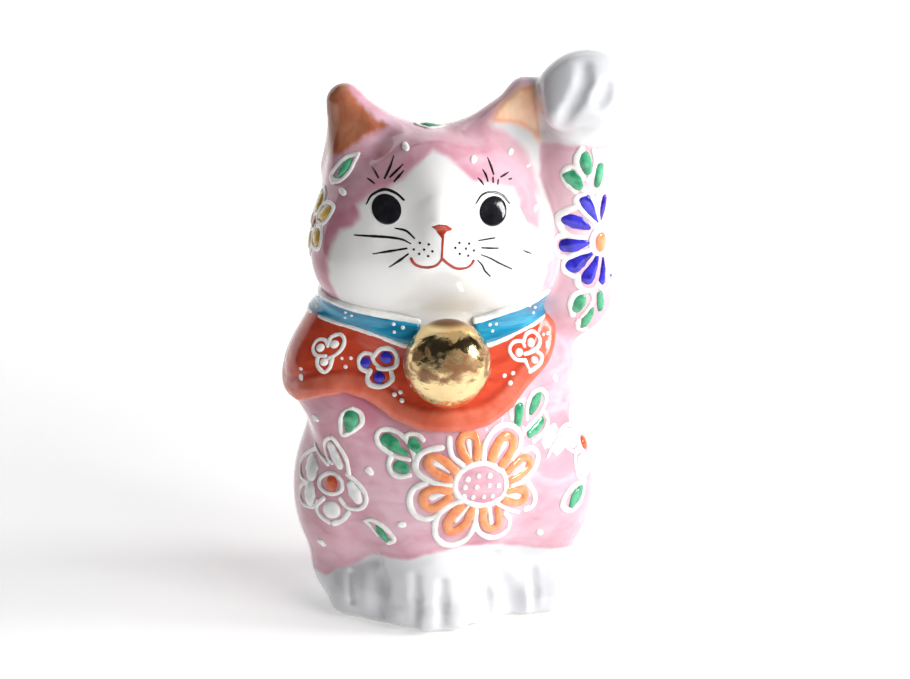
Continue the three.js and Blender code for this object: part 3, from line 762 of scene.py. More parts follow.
def bib(x, y, z):
    """A thin glazed layer with a thick rolled hem and a soft crease above it."""
    inside = hem_distance(x, y, z)
    roll = 0.7 * np.exp(-(((inside - 2.2) / 2.0) ** 2)) - 0.14 * np.exp(-(((inside - 5.2) / 1.1) ** 2))
    fold = 0.2 * np.sin(np.radians(bearing_of(x, y)) * 9 + 0.8) * np.clip(inside / 6, 0, 1)
    shell = smooth_max(bust(x, y, z) - BIB_DEPTH - roll - fold, -inside, 1.1)
    shell = smooth_max(shell, z - along(COLLAR_LOW, bearing_of(x, y)) - 1.2, 0.5)
    return np.maximum(shell, -(bust(x, y, z) + ROOT))


def collar(x, y, z):
    """A flat band between its two edges, ending either side of the bell."""
    bearing = bearing_of(x, y)
    low, high = along(COLLAR_LOW, bearing), along(COLLAR_HIGH, bearing)
    band = smooth_max(low - z, z - high, 0.4)
    gap = (GAP_HALF - np.abs(bearing - GAP_MIDDLE)) * GAP_SLOPE
    band = smooth_max(band, gap, 0.8)
    return np.maximum(smooth_max(bust(x, y, z) - COLLAR_DEPTH, band, 1.0), -(bust(x, y, z) + ROOT))


FINE = 0.45  # spacing of the bib's and the collar's meshes, mm
BIB_BOX = (-39, -38, 45), (33, 24, 79)
COLLAR_BOX = (-35, -36, 65), (36, 32, 82)
PIPING_BOX = (-38, -38, 62), (38, 34, 86)
PIPING_BED = 1.0  # how far the middle of the collar's piping stands off the clay, mm


def make_worn(name, field, low, high, material, slot):
    points, normals, quads = surface_net(field, low, high, FINE)
    x, y, z = points.T
    marks = {"hem": hem_distance(x, y, z), "band": z - along(COLLAR_LOW, bearing_of(x, y))}
    finish_piece(mesh_piece(name, points, quads, normals, marks), material, slot, name)
    return tree_of(points, quads)


def piping_bed(x, y, z):
    return bust(x, y, z) - PIPING_BED


BIB_TREE = make_worn("bib", bib, *BIB_BOX, "bib", "red_enamel")
bed, _, bed_quads = surface_net(piping_bed, *PIPING_BOX, FINE)
PIPING_TREE = tree_of(bed, bed_quads)
COLLAR_TREE = make_worn("collar", collar, *COLLAR_BOX, "turquoise", "turquoise_enamel")


# ---- the bell --------------------------------------------------------------------------------

BELL_STRETCH = 1.03  # a little taller than wide


def make_bell():
    """Two cups pressed together at a soft rolled seam, a little out of true as slip casting leaves it."""
    r = BELL["radius"]
    turns, rows = 96, 64
    profile = []
    for k in range(rows + 1):
        a = math.pi * (k / rows - 0.5)
        height = math.sin(a) * r
        seam = 0.1 * math.exp(-((height / 0.9) ** 2))
        profile.append((math.cos(a) * r + seam * math.cos(a), height * BELL_STRETCH))
    points, faces = [], []
    for k, (radius, height) in enumerate(profile):
        ring = turns if 0 < k < rows else 1
        for j in range(ring):
            b = 2 * math.pi * j / turns
            wave = 1 + 0.006 * math.sin(3 * b + 0.5) * math.cos(height / r)
            points.append(
                (
                    BELL["x"] + radius * wave * math.sin(b),
                    BELL["y"] - radius * wave * math.cos(b),
                    BELL["z"] + height,
                )
            )

    def first(k):
        return 1 + (k - 1) * turns

    last = len(points) - 1
    tris = []
    for j in range(turns):
        n = (j + 1) % turns
        tris.append((0, first(1) + n, first(1) + j))
        tris.append((last, first(rows - 1) + j, first(rows - 1) + n))
        for k in range(1, rows - 1):
            a, b, c, d = first(k) + j, first(k) + n, first(k + 1) + n, first(k + 1) + j
            tris += [(a, b, c), (a, c, d)]
    piece = mesh_piece("bell", np.array(points), np.array(tris))
    finish_piece(piece, "gold", "gold_lustre", "bell")


make_bell()


# ---- raised enamel and painted lines ---------------------------------------------------------

START = 30.0  # how far off the surface a drawing's points set out towards it, mm
SPAN_POINTS = 8  # points along a course between two that are given
BEAD_STEP = 0.32  # spacing of the rings along a trail, mm
HAND_STEP = 0.32  # step of the hand's unevenness along a trail, mm
SUNK = 0.15  # how far the underside of the enamel lies below the glaze, mm
HIGHEST = 0.62  # the tallest a trail stands, mm
NARROW, BROAD = 1.2, 2.5  # half-widths from which a trail is rounded with more points, mm


class Flat:
    """A drawing plane facing along normal: courses run across and up from its centre."""

    def __init__(self, centre, normal, tree=TREE, field=cat):
        self.tree, self.field = tree, field
        self.centre = np.array(centre, float)
        self.normal = unit(np.array(normal, float))
        self.right = unit(np.cross((0, 0, 1), self.normal))
        self.up = np.cross(self.normal, self.right)

    def place(self, course):
        start = self.centre + course[:, :1] * self.right + course[:, 1:] * self.up + self.normal * START
        return self.land(start, np.tile(-self.normal, (len(course), 1)))

    def land(self, start, heading):
        found = []
        for s, h in zip(start, heading):
            hit = self.tree.ray_cast(Vector(s), Vector(h), 2 * START)[0]
            if hit is None:
                hit = self.tree.find_nearest(Vector(s + h * START))[0]
            found.append(hit)
        found = np.array(found)
        return found, unit(gradient(self.field, found))


class Round(Flat):
    """A drawing wrapped round the neck: courses run in mm round it, at NECK_R, and in height."""

    def __init__(self, tree, field):
        self.tree, self.field = tree, field

    def place(self, course):
        b = course[:, 0] / NECK_R
        out = np.stack([np.sin(b), -np.cos(b), 0 * b], 1)
        start = out * 2 * START + np.array([0, 0, 1]) * course[:, 1:]
        return self.land(start, -out)


def smooth_course(course, widths, spacing):
    """A course through its points, with its half-widths spread evenly along it."""
    p = np.array(course, float).reshape(-1, 2)
    widths = np.atleast_1d(np.array(widths, float))
    if len(p) == 1:
        return p, widths[:1]
    if len(widths) == 1:
        widths = widths.repeat(2)
    q = np.vstack([2 * p[0] - p[1], p, 2 * p[-1] - p[-2]])
    t = np.linspace(0, 1, SPAN_POINTS + 1)[:-1, None]
    line = []
    for a, b, c, d in zip(q, q[1:], q[2:], q[3:]):
        square, cube = 2 * a - 5 * b + 4 * c - d, 3 * b - a - 3 * c + d
        line.append(0.5 * (2 * b + (c - a) * t + square * t**2 + cube * t**3))
    line = np.vstack(line + [p[-1:]])
    run = np.concatenate([[0], np.cumsum(np.linalg.norm(np.diff(line, axis=0), axis=1))])
    count = max(int(run[-1] / spacing), 2)
    s = np.linspace(0, run[-1], count + 1)
    line = np.stack([np.interp(s, run, line[:, i]) for i in (0, 1)], 1)
    return line, np.interp(s / run[-1], np.linspace(0, 1, len(widths)), widths)


def bead(sheet, widths, course, rise, rng, sunk):
    """One trail: a rounded ridge with domed ends. Gives points, quads and heights above the glaze."""
    line, half = smooth_course(course, widths, BEAD_STEP)
    if len(line) == 1:
        ahead = np.array([[1.0, 0.0]])
    else:
        ahead = unit(np.gradient(line, axis=0))
        phase, length = rng.uniform(0, 6.28, 2), np.arange(len(line)) * HAND_STEP
        half = half * (1 + 0.05 * np.sin(length * 1.3 + phase[0]) + 0.035 * np.sin(length * 2.9 + phase[1]))
        blob = np.exp(-((length / (2.2 * half[0])) ** 2))
        half = half * (1 + 0.1 * blob * (rise is None))
    rings = []  # centre, direction, share of the half-width, half-width
    caps = (0.995, 0.93, 0.78, 0.55, 0.28) if half.max() < BROAD else np.cos(np.linspace(0.1, 1.5, 12))
    for c in caps:
        rings.append((line[0] - ahead[0] * half[0] * c, ahead[0], math.sqrt(1 - c * c), half[0]))
    if len(line) > 1:
        rings += [(line[i], ahead[i], 1.0, half[i]) for i in range(len(line))]
    else:
        rings.append((line[0], ahead[0], 1.0, half[0]))
    for c in reversed(caps):
        rings.append((line[-1] + ahead[-1] * half[-1] * c, ahead[-1], math.sqrt(1 - c * c), half[-1]))
    top = 9 if half.max() < NARROW else 13 if half.max() < BROAD else 25
    sides = top + 3
    across = np.concatenate([np.cos(np.linspace(0, math.pi, top)), (-0.55, 0.0, 0.55)])
    lift = np.concatenate([np.sin(np.linspace(0, math.pi, top)), (0, 0, 0)])
    centre = np.array([r[0] for r in rings])
    side = np.array([(-r[1][1], r[1][0]) for r in rings])
    share = np.array([r[2] for r in rings])
    wide = np.array([r[3] for r in rings])
    height = np.minimum(0.5 * wide + 0.08, HIGHEST) if rise is None else np.full(len(rings), rise)
    flat = centre[:, None] + side[:, None] * (across[None] * (share * wide)[:, None])[..., None]
    tall = lift[None] * (share * height)[:, None] - sunk * (lift[None] < 1e-6)
    points, normals = sheet.place(flat.reshape(-1, 2))
    tall = tall.reshape(-1)
    i, j = np.meshgrid(np.arange(len(rings) - 1), np.arange(sides), indexing="ij")
    n = (j + 1) % sides
    this, following = i * sides, (i + 1) * sides
    quads = np.stack([this + j, this + n, following + n, following + j], -1).reshape(-1, 4)
    cap = np.array([(k, k + 1, sides - 2 - k, sides - 1 - k) for k in range(sides // 2 - 1)])
    quads = np.concatenate([quads, cap[:, ::-1], cap + (len(rings) - 1) * sides])
    return points + normals * tall[:, None], quads, np.maximum(tall, 0)


SLOTS = {
    "white": "white_enamel", "plate": "white_enamel", "orange": "orange_enamel", "green": "green_enamel",
    "blue": "blue_enamel", "yellow": "yellow_enamel", "ember": "red_enamel", "black": "blue_enamel",
    "rust": "red_enamel",
}
RISES = {"black": 0.09, "rust": 0.12}
PUPIL_RISE = 0.5  # the pupils stand as low domes, mm


def draw(name, sheet, drawing, *nodes, sunk=SUNK, rise=None):
    """All the trails of one drawing, as one piece for each colour."""
    rng = np.random.default_rng(sum(map(ord, name)))
    for colour, trails in drawing.items():
        points, quads, tall, count = [], [], [], 0
        for widths, *course in trails:
            p, q, h = bead(sheet, widths, course, rise or RISES.get(colour), rng, sunk)
            points.append(p)
            quads.append(q + count)
            tall.append(h)
            count += len(p)
        mesh = np.concatenate(points), np.concatenate(quads)
        piece = mesh_piece(f"{name}_{colour}", *mesh, attributes={"height": np.concatenate(tall)})
        finish_piece(piece, colour, SLOTS[colour], *nodes)


def joined(points):
    return sum(points, ())


def daisy(colour, petals, inner, outer, half, heart=None, turn=0.5):
    """Petals round a heart, each inside its own white outline.

    Where the heart has no colour, it is nine white dots and the petals are hollow outlines.
    """
    hollow = heart is None
    filled, white = [], []
    tip = outer - half
    wide, far = half + (1.9 if hollow else 0.95), outer + (1.5 if hollow else 0.9)
    for k in range(petals):
        a = 2 * math.pi * (k + turn) / petals
        way, side = np.array([math.cos(a), math.sin(a)]), np.array([-math.sin(a), math.cos(a)])

        def spot(r, s):
            return tuple(way * r + side * s)

        if hollow:
            out = ((inner, 0.75), (tip - half, 1), (tip, 0.8), (tip + half * 0.45, 0))
            back = [spot(r, -s * half) for r, s in reversed(out[:3])]
            filled.append((1.0, *joined([spot(r, s * half) for r, s in out] + back)))
            white.append(((0.6, 0.35), *spot(tip - half * 0.8, 0), *spot(inner + 0.6, 0)))
        else:
            filled.append((tuple(half * s for s in (0.4, 0.75, 1.0, 0.95)), *spot(inner, 0), *spot(tip, 0)))
        edge = ((inner - 0.4, wide * 0.45), (tip - half, wide), (tip + half * 0.3, wide * 0.85))
        back = [spot(r, -s) for r, s in reversed(edge)]
        white.append((0.58, *joined([spot(r, s) for r, s in edge] + [spot(far, 0)] + back)))
    turns = np.linspace(0.3, 6.4, 17)
    white.append((0.6, *joined([(math.cos(t) * (inner - 1), math.sin(t) * (inner - 1)) for t in turns])))
    if hollow:
        white += [(0.6, x * 2.3 + (z % 2) * 1.1, z * 2.1) for x in (-1, 0, 1) for z in (-1, 0, 1)]
        return {colour: filled, "white": white}
    return {colour: filled, "white": white, heart: [(inner - 2.1, 0, 0)]}


def leaf(length, half, turn):
    """One green leaf inside a pointed white outline."""
    c, s = math.cos(turn), math.sin(turn)

    def spin(points):
        return joined([(x * c - z * s, x * s + z * c) for x, z in points])

    body = ((half * 0.35, half, half, half * 0.5), *spin([(0, -length * 0.36), (0, length * 0.34)]))
    wide, far = half + 1.15, length / 2 + 1.5
    left = [(0, -far), (-wide, -length * 0.15), (-wide * 0.9, length * 0.22), (0, far)]
    right = [(wide * 0.9, length * 0.22), (wide, -length * 0.15), (0, -far)]
    return {"green": [body], "white": [(0.55, *spin(left + right))]}


# Each drawing has its centre, the way it faces, and its trails of enamel by colour. A trail is its
# half-width (or several, spread along it), then its course across and up from the centre, in mm.
ENAMEL = {
    "flower_front": ((7.8, -32, 36.8), (0.2, -0.97, 0.1), {
        "orange": [
            (1.05, -2.4, 6.4, -3.5, 8.3, -3.8, 10.5, -2.8, 12, -1.4, 12.2, -0.1, 11.4, 0.2, 9.5, -0.2, 6.8),
            (1.1, 3.7, 6.2, 4.6, 8.4, 6.1, 10.1, 8, 10.9, 9.5, 10, 9.5, 8.1, 8.2, 6.4, 6.3, 4.5),
            (0.95, 7.9, 2.7, 9.9, 4, 12.1, 4.9, 14, 4.5, 14.3, 3.1, 12.9, 1.7, 10.8, 0.8, 8.5, 0.2),
            (1, 7.8, -2.1, 10, -2, 12.3, -2.8, 13, -4.3, 12.4, -5.4, 10, -5.4, 7, -4.4),
            (1, 1.3, -6, 1.4, -8.1, 2.2, -10, 3.9, -11.2, 5.4, -10.7, 5.7, -8.7, 5, -6.3),
            (1.15, -4.5, -4.9, -6, -6.7, -6.9, -8.9, -6.3, -10.8, -4.6, -10.8, -2.8, -9.1, -1.9, -7.2,
                -1.7, -5.9),
            (1.1, -7.1, -0.7, -9.2, -0.3, -11.4, -0.9, -12.4, -2.7, -11.9, -4.4, -10.3, -5, -8.5, -4,
                -6.9, -2.5),
            (1.05, -5.5, 4, -7.2, 5.8, -8.9, 7, -10.6, 7, -11.2, 5.6, -10.4, 4.1, -8.8, 2.9, -6.9, 1.9),
        ],
        "white": [
            ((0.65, 0.32), -1.9, 10.5, -1.8, 8.6, -1.6, 6.6), ((0.65, 0.32), 7.1, 9, 6.2, 7.8, 5, 6.3),
            ((0.65, 0.38), 12.1, 2.7, 10.8, 2.2, 9.4, 1.5),
            ((0.76, 0.49), 10.6, -4.1, 8.9, -3.5, 6.9, -2.8), ((0.54, 0.65), 2.8, -5.5, 3.6, -9.5),
            ((0.38, 0.65), -2.5, -4.8, -3.8, -6.5, -5, -8.1),
            ((0.81, 0.43), -10.5, -2.2, -8.9, -1.6, -6.7, -1.2),
            ((0.7, 0.38), -9.7, 5.8, -8.4, 5, -6.8, 3.8),
            (0.7, 4.3, 4.1, 2.6, 5, 0.5, 5.3, -2.3, 4.8, -4.6, 3.2, -5.6, 0.7, -5, -1.8, -3, -3.5,
                0, -4.7, 3, -4.7, 5.6, -3.6, 7, -1.8, 7.1, 0.6, 6.2, 2.8, 4.8, 3.6),
            (0.67, -6.2, 11.5, -6.3, 9.2, -5.7, 7.1, -3.6, 5.3),
            (0.73, 1.5, 6.3, 2.1, 9.5, 4.3, 12.2, 7.3, 13.4, 10.4, 12.5, 12.1, 10.2, 11.4, 7.4, 9.2, 5.4),
            (0.73, 12.5, 6.6, 15.3, 6.7, 16.8, 5.1, 16.2, 2.8, 14.4, 0.8, 12.1, -0.6, 9, -1.1),
            (0.7, 13.7, -1.4, 15.2, -3.5, 15.7, -5.8, 14.9, -7.4, 13.3, -7.8),
            (0.54, 5.1, -5, 8.1, -6.8, 11.2, -8.2),
            (0.67, -0.5, -6, -0.4, -9, 0.8, -11.6, 3.5, -13.4, 6.5, -13.6, 8.7, -12.1, 8.7, -9.4,
                7.3, -7.6),
            (0.76, -4.4, -3.5, -7.4, -4.6, -9, -6.6, -9.7, -9.4, -9.3, -12.2, -7.5, -14.1, -5.1, -14.5,
                -2.5, -13.5, -1.1, -11.4, -0.5, -9.3),
            (0.73, -12, 1.1, -14.3, -0.3, -15.2, -2.7, -14.9, -5.1, -13.7, -7, -11.5, -7.7, -9.4, -6.8,
                -7.7, -5.1, -5.1, -3.6),
            (0.7, -8.1, 9.4, -10.7, 8.9, -12.8, 7.7, -13.8, 5.7, -13.6, 3.7, -12, 2.2, -9.6, 1, -6.5, 0.6),
            (0.73, -2.6, 1.8), (0.65, 0, 2.4), (0.76, 2.8, 2.2), (0.67, -3.3, -0.1), (0.65, -0.5, -0.2),
            (0.63, 2.7, -0.1), (0.71, 5.1, -0.4), (0.73, -3.6, -2.3), (0.63, -1.4, -2.6), (0.6, 1.3, -2.7),
            (0.6, 3.5, -2.8),
        ],
    }),
    "sprig_right": ((-11.6, -27.2, 44.4), (-0.3, -0.95, 0.05), {
        "green": [
            ((1.55, 1.45, 0.9, 0.6), -2.1, 2.2, -1, 1.6, 0.7, 0.3, 2.9, -0.4),
            ((1.35, 1.2), 4.3, 1.9, 5.1, 1.2), ((1.3, 1.3), 1.1, -3.6, 2.5, -3.9),
        ],
        "white": [
            (0.65, -1, -0.9, -3.7, 0.8, -4.7, 2.7, -3.9, 4.3, -1.7, 4.7, 0.8, 3.9, 3, 2.3, 4.6, -0.1,
                4.9, -1.3),
            (0.59, 2.2, 3.4, 3.6, 4.2, 5.7, 4, 6.8, 3), (0.54, -1, -1.1, 1.1, -1.6, 3.7, -1.8),
            (0.65, -0.9, -1.6, -1.4, -3.3, -0.6, -5.2, 1.3, -6, 3.9, -5.4),
        ],
    }),
    "sprig_left": ((20.5, -19.5, 49.6), (0.65, -0.75, 0.1), {
        "green": [
            ((1.2, 1.5, 1.15), -2.8, 3.2, -3.4, 1.4, -4.3, -0.2),
            ((1.05, 1.5, 1), 3.2, 4.8, 2.6, 3.2, 1.2, 1.5),
            ((1.1, 1.4, 1), 4.2, -1.4, 2.3, -2.6, -0.5, -3.6),
        ],
        "white": [
            (0.59, -6, 1.2, -5.8, 3.3, -4, 4.5, -1.1, 4.6),
            (0.65, -0.8, 0.2, 0, 3.4, 1.8, 5.8, 4.4, 6.1, 6.1, 3.8, 5.3, 1.4, 3.2, -0.6, -1.6, -2.3),
            (0.59, 6, 0.1, 6.4, -1.9, 4.3, -4.1, 0.2, -5.7), (0.49, -2.7, -1.8, -2.6, -3.2),
        ],
    }),
    "leaf_chest": ((-21.7, -22.6, 50.4), (-0.55, -0.83, 0.1), {
        "green": [((1.3, 1.75, 1.5, 1.1), 0, 1.6, 0.1, 0.5, 0, -0.6, -0.1, -1.6)],
        "white": [(0.59, 0.3, 3.1, -1.7, 1.9, -2.3, -0.5, -1.9, -3.3, 0.9, -2, 2.6, 0, 2, 2.4, 0.4, 3.1)],
    }),
    "leaf_foreleg": ((-15, -26, 24.5), (-0.36, -0.93, 0.05), {
        "green": [((0.35, 0.85, 1, 0.6), -0.8, 1.1, 0.1, -0.2, 1.1, -1.4, 1.8, -2.1)],
        "white": [
            ((0.43, 0.65, 0.65, 0.54), -4, 2, -2.2, 2.6, 0.7, 1.5, 3, -0.5, 3.6, -1.9, 2, -2.7),
            ((0.49, 0.38), -3.8, 1.9, -2.1, 0.4, -0.6, -1.2),
        ],
    }),
    "flower_haunch_right": ((-26.2, -18.7, 34.6), (-0.72, -0.69, 0.08), {
        "ember": [(1.95, 0.1, -0.3)],
        "white": [
            (0.59, 2.9, 1.6, 1.2, 2.3, -1.3, 1.9, -3.7, 0.3, -3.8, -1.6, -1.5, -2.7, 1.1, -2.6,
                3.3, -1.3, 3.5, 0.7, 2.7, 1.7),
            (0.54, -7.5, 6.5, -12.7, 3.5, -13.6, 0.5, -11.2, -1.6, -6.6, -1.7),
            (0.54, -6.8, -1.9, -11.1, -2.9, -12.2, -5.7, -10, -7.6, -5.5, -7.1, -4, -5.3),
            (0.65, -2.1, -4.4, -4.3, -6.7, -3.4, -8.6, -0.7, -10), (0.7, 0.7, -10, 3, -8.8, 4.8, -6.7),
            (0.59, 2.8, -3.5, 4.8, -5.3, 8, -5.1, 10, -3.2, 9.9, -0.8, 7.7, 1.6, 5.1, 2.9),
            (0.59, 5.7, 3.1, 5.1, 6.4, 3.2, 9.2, 0.8, 11.2, -2.3, 8.8, -1.4, 5.8, 0.3, 4.8),
            ((0.49, 0.76), -7.6, 7.4, -5.4, 5.9, -1.4, 4.3),
        ],
        "plate": [
            ((2.1, 2.5, 2.1), -8.1, 2.9, -7.8, 1.9, -7.5, 0.8),
            ((1.8, 2.2, 1.8), -7.2, -3.3, -7.2, -4.4, -7.2, -5.4), ((1.95, 1.95), -0.1, -6.8, 0.6, -6.6),
            ((1.3, 1.75, 1.4), 6.3, 0.3, 7, -1.1, 7.8, -2.6),
            ((1.2, 1.5, 1.1), 0.5, 8.7, 1.5, 6.8, 2.9, 4.8),
        ],
    }),
    "leaf_haunch": ((31.9, -17.1, 29.4), (0.83, -0.55, 0.05), {
        "green": [((1, 1.75, 1.75, 1), 2.6, 1.3, 1.7, 0.2, 0.4, -0.7, -0.6, -2)],
        "white": [(0.76, 4.8, 2.7, -0.5, 2.4, -3.2, 0.2, -3.2, -2.1, -0.5, -3.3, 2.8, -1.7, 4.7, 2.4)],
    }),
    "flower_arm": ((38.6, -8.9, 90.1), (0.72, -0.69, 0), {
        "orange": [((1.5, 1.5), 0.1, 0.1, 0.1, -1.2)],
        "white": [
            (0.67, -1.9, 2.5, -3, 0.4, -2.5, -2.1, -0.1, -3.5, 4.3, -3.6, 4.3, 1.2, 0.3, 2.9, -1.9, 2.5),
            (0.65, -2, 4.4, -4.4, 7, -5.9, 9.6, -5.7, 11, -4.6, 11.2), (0.65, -2.9, 10.4, -2, 8.5, -1, 5.4),
            (0.65, -1.3, 11, 0.8, 11.7, 3.8, 10.2, 3.6, 7.4),
            (0.67, -6.4, 8.4, -7.5, 7.4, -8.3, 5.3, -8.1, 3, -6.9, 1.5, -4.6, 1),
            (0.67, -7.7, 1.7, -9.3, 1.3, -11, -0.3, -9.8, -2.7, -7.4, -3.5, -5.4, -2.3),
            (0.67, -3.7, -2.1, -6.2, -2.7, -7.9, -4.2, -8.2, -6.7, -7.1, -8),
            (0.65, -6.4, -7.9, -6.6, -9.8, -5.4, -11.3, -3.1, -11.4, -1.8, -10.2),
            (0.59, -1.6, -10.6, 0.3, -12.1, 2.6, -11.3),
        ],
        "blue": [
            ((0.4, 1, 1.4, 1.35), -1.4, 4.6, -2.8, 6.8, -3.9, 9.1, -4.5, 10.2),
            ((0.35, 0.9, 0.95), 0, 5.2, 0.7, 7.9, 1.3, 9.9),
            ((0.5, 1.1, 1.6, 1.5), -3.6, 3.4, -5.1, 4.3, -6.3, 5.1, -6.9, 5.5),
            ((0.5, 1.2, 1.75, 1.6), -3.7, -0.2, -5.4, -0.3, -6.7, -0.6, -7.4, -0.7),
            ((0.5, 1.1, 1.6, 1.5), -3, -3, -4.4, -3.7, -6, -4.9, -6.8, -5.6),
            ((0.4, 1, 1.45, 1.5), -1.1, -3.6, -2, -5.4, -3.5, -7.5, -4.3, -8.6),
            ((0.35, 0.9, 1.15), 0.9, -4.5, 0.6, -7, -0.2, -9.6), ((0.4, 1, 1.1), 4.8, -9.5),
        ],
    }),
    "sprig_arm_upper": ((34.6, -11, 105.8), (0.6, -0.8, 0), {
        "green": [
            ((1, 1.35, 1), 0, 5, 0.1, 3.2, 0.5, 1.4), ((1.2, 1.4, 1.1), -2.9, 0.3, -2.2, -0.9, -1.6, -2.1),
            ((1, 1.3, 1), 4, 1.8, 3.7, 0.1, 3.1, -1.9),
        ],
        "white": [
            (0.65, -0.6, 6.6, -1.8, 4.4, -1.7, 1.9, -0.5, -0.4),
            (0.65, 2, 6.1, 2.4, 4.2, 1.8, 1.1, 0.4, -0.8),
            (0.59, -1.5, 1.8, -3, 2.5, -3.7, 0.8, -3.4, -1.6, -2.2, -3.5),
            (0.59, 2.7, 3.8, 4.8, 3.8, 6.4, 1.2, 5.5, -2.3), (0.65, -0.5, -3.1, 1, -4),
        ],
    }),
    "sprig_arm_lower": ((35.6, -11.6, 74.6), (0.6, -0.8, -0.1), {
        "green": [
            ((1, 1.35, 1.2), -2.1, 2.2, -2.7, 1, -3.1, -0.1),
            ((0.9, 1.2, 0.9), 2.8, 2.5, 3.1, 0.9, 3.5, -0.8),
            ((0.9, 1.35, 1.1), 0.5, -1, 0.2, -2.9, 0.2, -4.8),
        ],
        "white": [
            (0.65, -2, 3.8, -3.8, 3, -4.5, 0.6, -3.6, -2),
            (0.59, 0.4, 3.5, 0.7, 1.6, -0.3, -0.4, -1.5, -2.3), (0.59, -1.9, -3.7, -0.5, -6, 1.9, -6.7),
        ],
    }),
    "leaf_brow": ((-21.9, -7.6, 108), (-0.3, -0.51, 0.81), {
        "green": [((0.5, 1.2, 1.2, 0.5), -0.7, -2.4, 0.1, -1.5, 0.8, -0.5, 1.6, 1)],
        "white": [
            (0.59, -2.3, -3.1, -3.2, -1.6, -1.5, -0.1, 0.6, 1.7, 3.2, 2.6),
            (0.59, -2.3, -3.1, 0.4, -3.5, 2.3, -1.9, 2.9, 0.3, 3.2, 2.6),
        ],
    }),
}
BIB_ENAMEL = {
    "trefoil_blue": ((-15.2, -20.7, 63.6), (-0.5, -0.85, 0.15), {
        "blue": [(1.3, -2.2, 0.4), (1.5, 2.8, 2.1), (1.4, 1.4, -2.7)],
        "white": [
            (0.54, -1.2, -1.7, -3.3, -1, -3.9, 1.1, -2.8, 2.5, -1, 2.5, -0.4, 1.4),
            (0.59, -0.2, 2.3, 1.4, 4, 3.9, 4.2, 5.2, 2.7, 5, 0.3, 2.9, -0.6, 1, -0.5),
            (0.59, -0.9, -1.4, -1.3, -3.1, -0.1, -4.6, 2.5, -4.7, 4.5, -3, 4.1, -0.9),
            (0.49, -0.4, 2.1, -0.1, 0.8, 1.4, -0.4),
        ],
    }),
    "trefoil_right": ((-27, -15.2, 64.8), (-0.81, -0.56, 0.15), {
        "white": [
            (1.03, -0.6, 1.6), (1.03, 2.3, 3), (0.97, 1.5, -1.4),
            (0.43, 1.3, 0, -1.1, -0.2, -2.6, 1.4, -2.2, 3.2, -0.3, 3.5, 1, 2.3),
            (0.49, 0.9, 2.6, 0.9, 4.5, 2.9, 5.5, 4.2, 4.4, 4.2, 2.2, 3.2, 0.5, 2.3, -0.3),
            (0.49, -0.4, -0.5, 0.1, -2.4, 2, -3.7, 3.1, -2.5, 3, -0.4),
        ],
    }),
    "trefoil_left": ((20.4, -17.3, 65.2), (0.63, -0.76, 0.15), {
        "white": [
            (1.08, -3.5, 0.5), (1.19, 0.4, 2.2), (0.92, 0, -1.9),
            (0.49, -2.5, -1.6, -4.8, -0.8, -5.9, 1.5, -4.7, 3.1, -2.4, 3, -1.7, 1.7),
            (0.54, -1.9, 2.7, -0.7, 4.4, 1.9, 4.6, 3.2, 2.8, 2, 0.9, -0.4, 0, -1.9, -0.1),
            (0.54, 1.3, 0, 2.1, -1.3, 1, -3, -1.9, -4.3), (0.43, -2.2, -1.5, -2.1, -3, -1.8, -4.2),
        ],
    }),
}
BIB_DOTS = (
    (0.6, -11.4, -0.6), (0.55, -10, 0), (0.6, -9.7, -1.9), (0.4, -23.4, 6.8), (0.45, -21.3, 7),
    (0.5, -22.6, 5), (0.55, 14.5, 3), (0.55, 16.6, 3.3), (0.6, 15.9, 1.2), (0.4, 24.4, 10.8),
    (0.45, 25.5, 10.9), ((0.4, 0.45), 25.2, 9, 25.2, 8.4), (0.4, -32.9, 3.2),
    ((0.4, 0.4), -32.9, 1.6, -32.9, 0.9),
)
COLLAR_DOTS = (
    (0.45, -11.4, 1.8), (0.5, -9.3, 1.1), (0.42, -11.3, 0), (0.34, -22.4, 3.7), (0.34, -21, 3.1),
    (0.34, -22.5, 2.2), (0.3, -28.5, 3.9), (0.3, -28.8, 2.7), (0.42, 11.1, 1.2), (0.42, 12.6, 1.2),
    (0.4, 11.7, -0.3), (0.36, 20.8, 4.7), (0.4, 22.3, 3.7), (0.34, 22, 2.3),
)
BODY_DOTS = (
    ((0.45, 0.6), -29.8, 10.2, -29.4, 9.5), ((0.8, 0.7), -17.6, -0.7, -17.1, -1.2),
    ((0.8, 0.8), -10.2, -13.1, -9.8, -13.1), ((0.7, 0.6), -28.7, -21.5, -28, -22.2),
    ((0.75, 0.75), 23.2, -18.4, 23.5, -18.7), (0.4, 9.8, 9.5), ((0.6, 0.4), 27.9, 3.1, 26.3, 1.6, 25.2, 0),
    ((0.5, 0.55), 27.1, 18.5, 27.5, 17.4),
)
HEAD_DOTS = (
    (0.85, -8, 6.3), (0.85, 7.6, 3.6), (0.8, -22.6, -4.6), (0.8, 17, 3.7), (0.75, 22.4, -8.7),
    (0.75, 24.6, -20.5),
)
